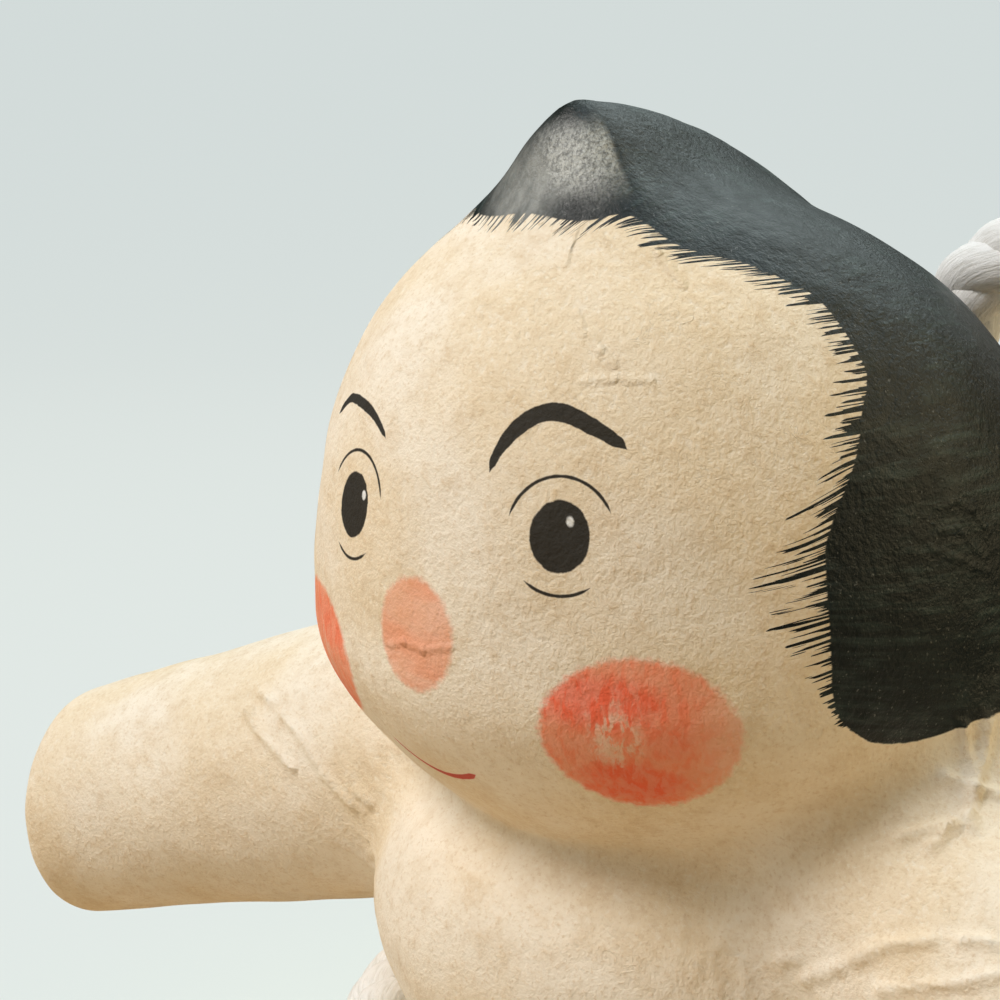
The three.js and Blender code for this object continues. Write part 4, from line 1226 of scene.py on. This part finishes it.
def grown(name, source, tree, **values):
    """New mesh object of what a tree makes from the source data, with these inputs by name."""
    seed = bpy.data.objects.new(f"{name}_path", source)
    bpy.context.scene.collection.objects.link(seed)
    modifier = seed.modifiers.new(tree.name, "NODES")
    modifier.node_group = tree
    for item in tree.interface.items_tree:
        key = item.name.lower()
        if item.in_out == "INPUT" and key in values:
            modifier[item.identifier] = values[key]
    graph = bpy.context.evaluated_depsgraph_get()
    mesh = bpy.data.meshes.new_from_object(seed.evaluated_get(graph), depsgraph=graph)
    if not mesh.polygons:
        raise RuntimeError(f"{name}: the tree {tree.name} made nothing")
    bpy.data.objects.remove(seed)
    piece = bpy.data.objects.new(name, mesh)
    bpy.context.scene.collection.objects.link(piece)
    return piece


def path_curve(name, points, radii, closed, upright=False):
    """Curve through the points with a radius at each."""
    curve = bpy.data.curves.new(name, "CURVE")
    curve.dimensions = "3D"
    curve.twist_mode = "Z_UP" if upright else "MINIMUM"
    spline = curve.splines.new("POLY")
    spline.points.add(len(points) - 1)
    for spot, (x, y, z), radius in zip(spline.points, points, radii):
        spot.co = (x, y, z, 1)
        spot.radius = radius
    spline.use_cyclic_u = closed
    return curve


# Knots between which a smooth path is blended, in three rounds
PATH_SPANS = (((0, 1), (1, 2), (2, 3)), ((0, 2), (1, 3)), ((1, 2),))


def smooth_path(knots, count):
    """Points on a centripetal curve through the knots, open at both ends."""
    knots = np.array(knots)
    knots = np.concatenate([[2 * knots[0] - knots[1]], knots, [2 * knots[-1] - knots[-2]]])
    times = np.concatenate([[0], np.cumsum(np.linalg.norm(np.diff(knots, axis=0), axis=1) ** 0.5)])
    path = []
    for t in np.linspace(times[1], times[-2] - TINY, count):
        i = int(np.clip(np.searchsorted(times, t, "right") - 1, 1, len(knots) - 3))
        row = list(knots[i - 1:i + 3])
        at = times[i - 1:i + 3]
        for spans in PATH_SPANS:
            for k, (low, high) in enumerate(spans):
                share = (t - at[low]) / (at[high] - at[low])
                row[k] = row[k] * (1 - share) + row[k + 1] * share
        path.append(row[0])
    return np.array(path)


def dress(piece, slot, *nodes, body=DOLL_BODY):
    """Hangs a finished piece on its body, in place of these nodes."""
    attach(piece, body)
    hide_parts(*nodes)
    return piece


# Operators

class DOLL_OT_stage(Operator):
    """Camera at the picture's angle, soft lamps and a pale seamless backdrop"""

    bl_idname = "doll.stage"
    bl_label = "Stage"

    # For each lamp: its place to the right, near and up as the camera sees it, its size, its tint, and how
    # much of it shows in gloss
    LAMPS = {
        "key": ((-0.43, 0.12, 0.53), (0.24, 0.24), (1.0, 0.945, 0.915), 1.0),
        "side": ((-0.52, 0.22, 0.30), (0.60, 0.60), (0.92, 1.0, 0.98), 1.0),
        "over": ((0.05, 0.02, 0.66), (0.35, 0.35), (0.66, 0.84, 1.0), 1.0),
        "warm": ((0.55, 0.15, 0.30), (0.60, 0.60), (1.0, 0.83, 0.50), 0.15),
        "back": ((0.25, -0.40, 0.50), (0.60, 0.40), (0.86, 1.0, 1.0), 1.0),
    }

    # Steps of the backdrop's bend, and distances from the doll in millimetres over which its colour changes
    # and over which its shadow runs out
    BEND_STEPS = 16
    COLOUR_CHANGE = (450.0, 1500.0)
    SHADOW_END = (60.0, 170.0)

    # Tint of the even light, and the nearest that the camera sees
    SKY_TINT = (1.0, 0.86, 0.64, 1)
    NEAREST = 10 * MM

    def execute(self, context):
        s, colours = context.scene.doll_stage, context.scene.doll_colours
        context.scene.view_settings.view_transform = "Standard"
        right = Vector((math.cos(s.camera_azimuth), math.sin(s.camera_azimuth), 0))
        near = Vector((math.sin(s.camera_azimuth), -math.cos(s.camera_azimuth), 0))
        up = Vector((0, 0, 1))
        self.camera(context, s, right, near, up)
        self.sky(context, s, colours)
        self.lamps(context, s, right, near, up)
        self.backdrop(s, colours)
        return {"FINISHED"}

    def camera(self, context, s, right, near, up):
        """The camera, a little aside of the doll."""
        towards = near * math.cos(s.camera_elevation) + up * math.sin(s.camera_elevation)
        target = Vector((0, AXIS_Y, s.camera_level)) - right * s.camera_aside
        data = bpy.data.cameras.new("camera")
        data.lens = s.lens
        data.sensor_width = s.sensor
        data.clip_start = self.NEAREST
        camera = bpy.data.objects.new("camera", data)
        camera.location = target + towards * s.camera_distance
        camera.rotation_euler = (-towards).to_track_quat("-Z", "Y").to_euler()
        context.scene.collection.objects.link(camera)
        context.scene.camera = camera

    def sky(self, context, s, colours):
        """Even light from all round, pale where the camera sees past the backdrop."""
        world = bpy.data.worlds.new("even light")
        world.use_nodes = True
        g = Graph(world.node_tree)
        even = g.tree.nodes["Background"]
        even.inputs["Color"].default_value = self.SKY_TINT
        even.inputs["Strength"].default_value = s.sky
        pale = g.add("ShaderNodeBackground", {"Color": colours.backdrop_high})
        seen = g.add("ShaderNodeLightPath").outputs["Is Camera Ray"]
        both = g.add("ShaderNodeMixShader", {0: seen, 1: even.outputs[0], 2: pale.outputs[0]})
        g.join(g.tree.nodes["World Output"].inputs["Surface"], both.outputs[0])
        context.scene.world = world

    def lamps(self, context, s, right, near, up):
        """Soft lamps that look at the doll's head."""
        middle = Vector((0, AXIS_Y, s.lamp_level))
        for name, (steps, size, tint, shine) in self.LAMPS.items():
            offset = steps[0] * right + steps[1] * near + steps[2] * up
            data = bpy.data.lights.new(name, "AREA")
            data.shape = "RECTANGLE"
            data.size, data.size_y = size
            data.energy = getattr(s, f"{name}_power")
            data.color = tint
            data.specular_factor = shine
            lamp = bpy.data.objects.new(name, data)
            lamp.location = middle + offset
            lamp.rotation_euler = offset.to_track_quat("Z", "Y").to_euler()
            context.scene.collection.objects.link(lamp)

    def backdrop(self, s, colours):
        """Floor that bends up into a wall behind the doll."""
        profile = [(-s.floor_half, 0.0), (0.0, 0.0)]
        for i in range(self.BEND_STEPS + 1):
            bend = i / self.BEND_STEPS * math.pi / 2
            back = s.wall_back - s.wall_bend * (1 - math.sin(bend))
            profile.append((back, s.wall_bend * (1 - math.cos(bend))))
        profile.append((s.wall_back, s.wall_top))
        turn = Matrix.Rotation(s.camera_azimuth, 3, "Z")
        points = [turn @ Vector((side * s.floor_half, y, z)) for y, z in profile for side in (-1, 1)]
        faces = [(2 * i, 2 * i + 1, 2 * i + 3, 2 * i + 2) for i in range(len(profile) - 1)]
        floor = mesh_object("backdrop", [tuple(p) for p in points], faces, self.paint(colours))
        floor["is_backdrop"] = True

    def paint(self, colours):
        """Pale paint that keeps the doll's shadow, with tints of its own in gloss and in bounced light."""
        f = Finish("pale backdrop", 0.95, 0.1)
        away = f.reach(*f.apart(f.here)[:2])
        tint = f.blend(f.rise(away, *self.COLOUR_CHANGE), colours.backdrop_low, colours.backdrop_high)
        f.join(f.shader.inputs["Base Color"], tint)
        glow = f.add("ShaderNodeEmission", {"Color": tint, "Strength": 1.0}).outputs[0]
        rays = f.add("ShaderNodeLightPath").outputs
        seen = f.math("MAXIMUM", rays["Is Camera Ray"], rays["Is Transmission Ray"])
        plain = f.rise(away, *self.SHADOW_END, 0.0, 0.9)
        pale = f.add("ShaderNodeMixShader", {0: plain, 1: f.shader.outputs[0], 2: glow}).outputs[0]
        bounce = f.blend(rays["Is Glossy Ray"], colours.backdrop_bounce, colours.backdrop_gloss)
        dull = f.add("ShaderNodeBsdfDiffuse", {"Color": bounce}).outputs[0]
        mixed = f.add("ShaderNodeMixShader", {0: seen, 1: dull, 2: pale}).outputs[0]
        f.join(f.tree.nodes["Material Output"].inputs["Surface"], mixed)
        return f.material


class DOLL_OT_paper(Operator):
    """Paper shells and strips of head, trunk, arms and legs, with the painted head"""

    bl_idname = "doll.paper"
    bl_label = "Paper Shells"

    PARTS = {
        "face": ("paper_skin", "face_shell"),
        "back_head": ("black_painted_paper", "back_head_shell"),
        "topknot": ("black_painted_paper", "topknot"),
        "throat_strip": ("pasted_strip", "throat_paper_band"),
        "nape_strip": ("pasted_strip", "nape_paper_band"),
        "chest": ("paper_skin", "chest_shell"),
        "back": ("paper_skin", "back_shell"),
        "right_arm": ("paper_skin", "right_arm_shell"),
        "left_arm": ("paper_skin", "left_arm_shell"),
        "right_shoulder_strip": ("pasted_strip", "right_shoulder_band"),
        "left_shoulder_strip": ("pasted_strip", "left_shoulder_band"),
        "right_leg": ("paper_skin", "right_leg_shell"),
        "left_leg": ("paper_skin", "left_leg_shell"),
    }
    PAINTED = ("face", "back_head", "topknot", "throat_strip", "nape_strip")

    # Steps of the net left free round the doll, and rounds of settling before and after faces are split
    MARGIN = 4
    ROUNDS = (3, 2)

    def execute(self, context):
        s, colours = context.scene.doll_paper, context.scene.doll_colours

        def distance(points):
            """How far these points are outside the paper."""
            return skin_distance(points, s)

        low, high = (np.array(corner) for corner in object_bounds())
        margin = self.MARGIN * s.net_step
        points, quads = surface_net(distance, low - margin, high + margin, s.net_step)
        points = settle(points, distance, self.ROUNDS[0])
        points, quads = split_quads(points, quads)
        points = settle(points, distance, self.ROUNDS[1])
        outward = gradient(points, distance)
        points = points + outward * paper_relief(points, s)[:, None]
        normals = point_normals(points, quads, outward)
        parts = skin_parts(points[quads].mean(axis=1), s)
        bare = skin_finish(colours)
        painted = head_finish(colours, context.scene.doll_face, s)
        for part, (slot, node) in self.PARTS.items():
            if not (parts == part).any():
                raise RuntimeError(f"no paper was found for {part}")
            material = painted if part in self.PAINTED else bare
            piece = shell_object(f"paper_{part}", points, normals, quads[parts == part], s.wall, material)
            dress(piece, slot, node)
        return {"FINISHED"}


class DOLL_OT_inside(Operator):
    """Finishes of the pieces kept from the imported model: inner strips, soles and foot weights"""

    bl_idname = "doll.inside"
    bl_label = "Inner Strips, Soles and Weights"

    def execute(self, context):
        colours = context.scene.doll_colours
        strip, board, clay = strip_finish(colours), board_finish(colours), clay_finish(colours)
        kept = {
            "head_seam_band": strip, "trunk_seam_band": strip,
            "right_sole": board, "left_sole": board,
            "right_foot_weight": clay, "left_foot_weight": clay,
        }
        for node, material in kept.items():
            materials = frame["nodes"][node].data.materials
            materials.clear()
            materials.append(material)
        return {"FINISHED"}


class DOLL_OT_loincloth(Operator):
    """Pleated dark belt and the strip between the legs"""

    bl_idname = "doll.loincloth"
    bl_label = "Loincloth"

    # The belt: points round it, rows of its outside and inside, and height, count and start of its waves
    AROUND = 240
    ROWS = 42
    BACK_ROWS = 12
    WAVES = ((0.015, 3, 1), (0.010, 7, 0))

    # A pleat: its thinnest share, and the shares of it that it rises in and falls by
    PLEAT_LEAST = 0.45
    PLEAT_RISE = 0.18
    PLEAT_FALL = 0.45

    # The belt's hem: its thinnest share, its share of the belt, and cloth taken up by the pleats
    HEM_LEAST = 0.35
    HEM = 0.06
    TAKEN_UP = 1.25

    # The strip: points along and across it, and height and half turns of its folds
    ALONG = 60
    ACROSS = 14
    FOLD_HEIGHT = 0.25
    HALF_FOLDS = 1.5

    def execute(self, context):
        paper, trim = context.scene.doll_paper, context.scene.doll_trim
        cloth = cloth_finish(context.scene.doll_colours)
        belt = self.belt(paper, trim, cloth)
        dress(belt, "dark_cloth", "loincloth_belt")
        strip = self.strip(paper, trim, cloth)
        dress(strip, "dark_cloth", "loincloth_strip")
        return {"FINISHED"}

    def trunk_radius(self, level, s):
        """Radius of the trunk at these levels."""
        swell = 1 - (np.abs(level - s.trunk_level) / s.trunk_reach) ** s.trunk_fullness
        waist = s.waist_depth * np.exp(-(((level - s.waist_level) / s.waist_spread) ** 2))
        return s.trunk_radius * np.maximum(swell, TINY) ** (1 / s.trunk_fullness) - waist

    def belt(self, s, trim, material):
        """Pleated belt round the waist."""
        share = np.concatenate([np.linspace(0, 1, self.ROWS), np.linspace(1, 0, self.BACK_ROWS)])
        front = np.arange(len(share)) < self.ROWS
        hem = ease(share, 0, self.HEM) * ease(share, 1, 1 - self.HEM)
        hem = self.HEM_LEAST + (1 - self.HEM_LEAST) * hem
        level = BELT_LOW.z + (BELT_HIGH.z - BELT_LOW.z) * share
        points, flat = [], []
        for turn in np.arange(self.AROUND) / self.AROUND * math.tau:
            lay = share + sum(high * math.sin(count * turn + start) for high, count, start in self.WAVES)
            saw = (lay * trim.pleats) % 1.0
            pleat = ease(saw, 0.0, self.PLEAT_RISE) * (1 - self.PLEAT_FALL * saw)
            thick = trim.cloth * (self.PLEAT_LEAST + (1 - self.PLEAT_LEAST) * pleat) * hem
            radius = self.trunk_radius(level, s) + trim.cloth_gap + np.where(front, thick, 0)
            x, y = radius * math.cos(turn), AXIS_Y + radius * math.sin(turn)
            points.append(np.stack([x, y, level], axis=1))
            flat.append(np.stack([np.full(len(level), turn * s.trunk_radius), level * self.TAKEN_UP], axis=1))
        return self.woven("loincloth_band", np.array(points), np.array(flat), material, True)

    def strip(self, s, trim, material):
        """Strip under the trunk from front to back."""
        x = np.linspace(STRIP_LOW.x, STRIP_HIGH.x, self.ACROSS)
        wide = np.concatenate([x, x[::-1]])
        outer = np.arange(len(wide)) < self.ACROSS
        fold = self.FOLD_HEIGHT * trim.cloth * np.sin(wide / x[-1] * math.pi * self.HALF_FOLDS)
        gap = trim.cloth_gap + np.where(outer, trim.cloth + fold, 0)
        points, flat = [], []
        for back in np.linspace(STRIP_LOW.y, STRIP_HIGH.y, self.ALONG) - AXIS_Y:
            share = np.hypot(wide, back) / (s.trunk_radius + gap)
            drop = (s.trunk_reach + gap) * (1 - share ** s.trunk_fullness) ** (1 / s.trunk_fullness)
            y = np.full(len(wide), back)
            points.append(np.stack([wide, y + AXIS_Y, s.trunk_level - drop], axis=1))
            flat.append(np.stack([wide, y], axis=1))
        return self.woven("loincloth_between_legs", np.array(points), np.array(flat), material, False)

    def woven(self, name, points, flat, material, closed):
        """Mesh of rings of points, with the cloth's flat map on it."""
        rows, columns = points.shape[:2]
        index = np.arange(rows * columns).reshape(rows, columns)
        this = index if closed else index[:-1]
        following = np.roll(index, -1, axis=0) if closed else index[1:]
        quads = np.stack([
            this, following, np.roll(following, -1, axis=1), np.roll(this, -1, axis=1),
        ], axis=2).reshape(-1, 4)
        faces = [list(quad) for quad in quads]
        if not closed:
            faces += [list(index[0]), list(index[-1][::-1])]
        piece = mesh_object(name, points.reshape(-1, 3), faces, material)
        layer = piece.data.uv_layers.new(name="flat")
        corners = np.empty(len(piece.data.loops), int)
        piece.data.loops.foreach_get("vertex_index", corners)
        spread = flat.reshape(-1, 2)[corners]
        layer.data.foreach_set("uv", spread.astype(np.float32).ravel())
        return piece


class DOLL_OT_rope(Operator):
    """Waist rope, its binding cord behind and the two standing loops"""

    bl_idname = "doll.rope"
    bl_label = "Rope, Binding and Loops"

    # The lay of every rope: strands, a strand's share of the rope's radius, and sides of a strand
    LAY = {"strands": 3, "plumpness": 0.68, "sides": 14}
    WAIST_POINTS = 260
    LOOP_POINTS = 180

    # The binding cord: points in a turn, turns of its lay, its pitch and press in its own radii, and the
    # height of its turns in radii of the rope
    CORD_POINTS = 40
    CORD_LAY = 40.0
    CORD_PITCH = 1.9
    CORD_PRESS = 0.8
    CORD_HEIGHT = 1.15

    # Inner and outer leg of a loop at its ends and where it leaves the binding, in tied radii, and the
    # outer leg's belly in half widths of the loop
    LOOP_ENDS = (0.95, 2.85)
    LOOP_LEAVES = (1.1, 3.1)
    LOOP_BELLY = 1.3

    def execute(self, context):
        s, trim = context.scene.doll_paper, context.scene.doll_trim
        tree = rope_tree()
        look = {**self.LAY, "material": cotton_finish(context.scene.doll_colours)}
        around = np.arange(self.WAIST_POINTS) / self.WAIST_POINTS * math.tau
        waist = path_curve("waist_path", *self.waist(around, trim), closed=True, upright=True)
        piece = grown("waist_twist", waist, tree, turns=float(trim.rope_turns), **look)
        dress(piece, "white_rope", "waist_rope")
        cord = path_curve("binding_path", *self.binding(trim), closed=False)
        piece = grown("binding_cord", cord, tree, turns=self.CORD_LAY, **look)
        dress(piece, "white_rope", "rope_knot")
        for name, side in (("right", -1), ("left", 1)):
            loop = path_curve(f"{name}_loop_path", *self.loop(side, s, trim), closed=False)
            piece = grown(f"{name}_loop_twist", loop, tree, turns=float(trim.loop_turns), **look)
            dress(piece, "white_rope", f"{name}_rope_loop")
        return {"FINISHED"}

    def waist(self, turn, trim):
        """Middle of the rope round the waist, and its radius, at these angles."""
        radius = trim.rope_back + (trim.rope_front - trim.rope_back) * (1 - np.sin(turn)) / 2
        level = (ROPE_LOW.z + ROPE_HIGH.z) / 2
        reach = AXIS_Y - ROPE_LOW.y - 2 * trim.rope_front + radius
        x, y = reach * np.cos(turn), AXIS_Y + reach * np.sin(turn)
        return np.stack([x, y, np.full(len(turn), level)], axis=1), radius

    def binding(self, trim):
        """Cord wound in close turns round the waist rope behind and the loops' ends."""
        share = np.linspace(0, 1, self.CORD_POINTS * trim.cord_turns)
        half = trim.cord_turns * self.CORD_PITCH * trim.cord / -ROPE_LOW.y / 2
        points, radius = self.waist(math.pi / 2 + half * (1 - 2 * share), trim)
        spin = share * trim.cord_turns * math.tau - math.pi / 2
        press = self.CORD_PRESS * trim.cord
        points[:, 1] += trim.loop_tied + (radius + trim.loop_tied + press) * np.cos(spin)
        points[:, 2] += (self.CORD_HEIGHT * radius + press) * np.sin(spin)
        return points, np.full(len(share), trim.cord)

    def loop(self, side, s, trim):
        """A standing loop from the binding up behind the head and back."""
        bow, tied, tail = trim.loop_width / 2, trim.loop_tied, -trim.loop_tail
        places = [(self.LOOP_ENDS[0] * tied, tail), (self.LOOP_LEAVES[0] * tied, 0)]
        places.append((trim.loop_inner, trim.loop_height / 2))
        for bend in np.radians(range(180, -1, -45)):
            out = trim.loop_inner + bow + bow * math.cos(bend)
            places.append((out, trim.loop_height - bow + bow * math.sin(bend)))
        places.append((trim.loop_inner + self.LOOP_BELLY * bow, trim.loop_height / 3))
        places += [(self.LOOP_LEAVES[1] * tied, 0), (self.LOOP_ENDS[1] * tied, tail)]
        waist, radius = self.waist(np.array([math.pi / 2]), trim)
        held = waist[0, 1] + radius[0] + tied
        start, behind = LOOP_LOW.y + trim.loop_rope, LOOP_HIGH.y - trim.loop_rope
        level = LOOP_HIGH.z - trim.loop_rope - trim.loop_height
        knots = []
        for out, up in places:
            back = held + (start - held) * ease(up, tail, 0)
            back += (behind - start) * ease(up, 0, trim.loop_height / 2)
            back -= trim.loop_lean * ease(up, s.head_level - level, trim.loop_height)
            knots.append((side * out, back, level + up))
        points = smooth_path(knots, self.LOOP_POINTS)
        free = ease(points[:, 2] - level, 0, trim.loop_height / 4)
        return points, tied + (trim.loop_rope - tied) * free


class DOLL_OT_streamers(Operator):
    """Folded paper streamers, each hung from the rope on its own hinge"""

    bl_idname = "doll.streamers"
    bl_label = "Paper Streamers"

    def execute(self, context):
        trim = context.scene.doll_trim
        tree = streamer_tree()
        look = {
            "folds": trim.fold_count, "width": trim.fold_width, "height": trim.fold_height,
            "step": trim.fold_step, "slant": trim.fold_slant, "paper": trim.fold_paper,
            "lean": trim.fold_lean, "material": streamer_finish(context.scene.doll_colours),
        }
        hinges = {joint["child"]: joint for joint in frame["joints"]}
        for body in STREAMERS:
            joint = hinges[body]
            across = Vector(joint["axis"])
            turn = math.atan2(-across.y, -across.x)
            piece = grown(f"{body}_paper", bpy.data.meshes.new(f"{body}_seed"), tree, **look)
            piece.data.transform(Matrix.Translation(joint["pos_m"]) @ Matrix.Rotation(turn, 4, "Z"))
            dress(piece, "white_paper", body, body=body)
        return {"FINISHED"}


class DOLL_PT_build(Panel):
    """Lists the steps that build the doll"""

    bl_label = "Paper Doll"
    bl_idname = "DOLL_PT_build"
    bl_space_type = "VIEW_3D"
    bl_region_type = "UI"
    bl_category = "Paper Doll"

    def draw(self, context):
        for operator in OPERATORS:
            self.layout.operator(operator.bl_idname)


OPERATORS = (
    DOLL_OT_stage, DOLL_OT_paper, DOLL_OT_inside, DOLL_OT_loincloth, DOLL_OT_rope, DOLL_OT_streamers,
)
SETTINGS = {
    "doll_paper": PaperSizes, "doll_face": FacePlaces, "doll_colours": Colours,
    "doll_trim": TrimSizes, "doll_stage": StageSizes,
}


def register():
    """Adds the classes, and the settings on the scene."""
    for item in (*SETTINGS.values(), *OPERATORS, DOLL_PT_build):
        bpy.utils.register_class(item)
    for name, group in SETTINGS.items():
        setattr(bpy.types.Scene, name, PointerProperty(type=group))


def unregister():
    """Takes them away again."""
    for name in SETTINGS:
        delattr(bpy.types.Scene, name)
    for item in (DOLL_PT_build, *reversed(OPERATORS), *reversed(SETTINGS.values())):
        bpy.utils.unregister_class(item)


def main():
    """Builds the doll and its stage."""
    register()
    bpy.ops.doll.stage()
    bpy.ops.doll.paper()
    bpy.ops.doll.inside()
    bpy.ops.doll.loincloth()
    bpy.ops.doll.rope()
    bpy.ops.doll.streamers()
    boxes = {"cad": cad_box, "visual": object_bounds()}
    {key: [list(corner) for corner in box] for key, box in boxes.items()}


if __name__ == "__main__":
    main()
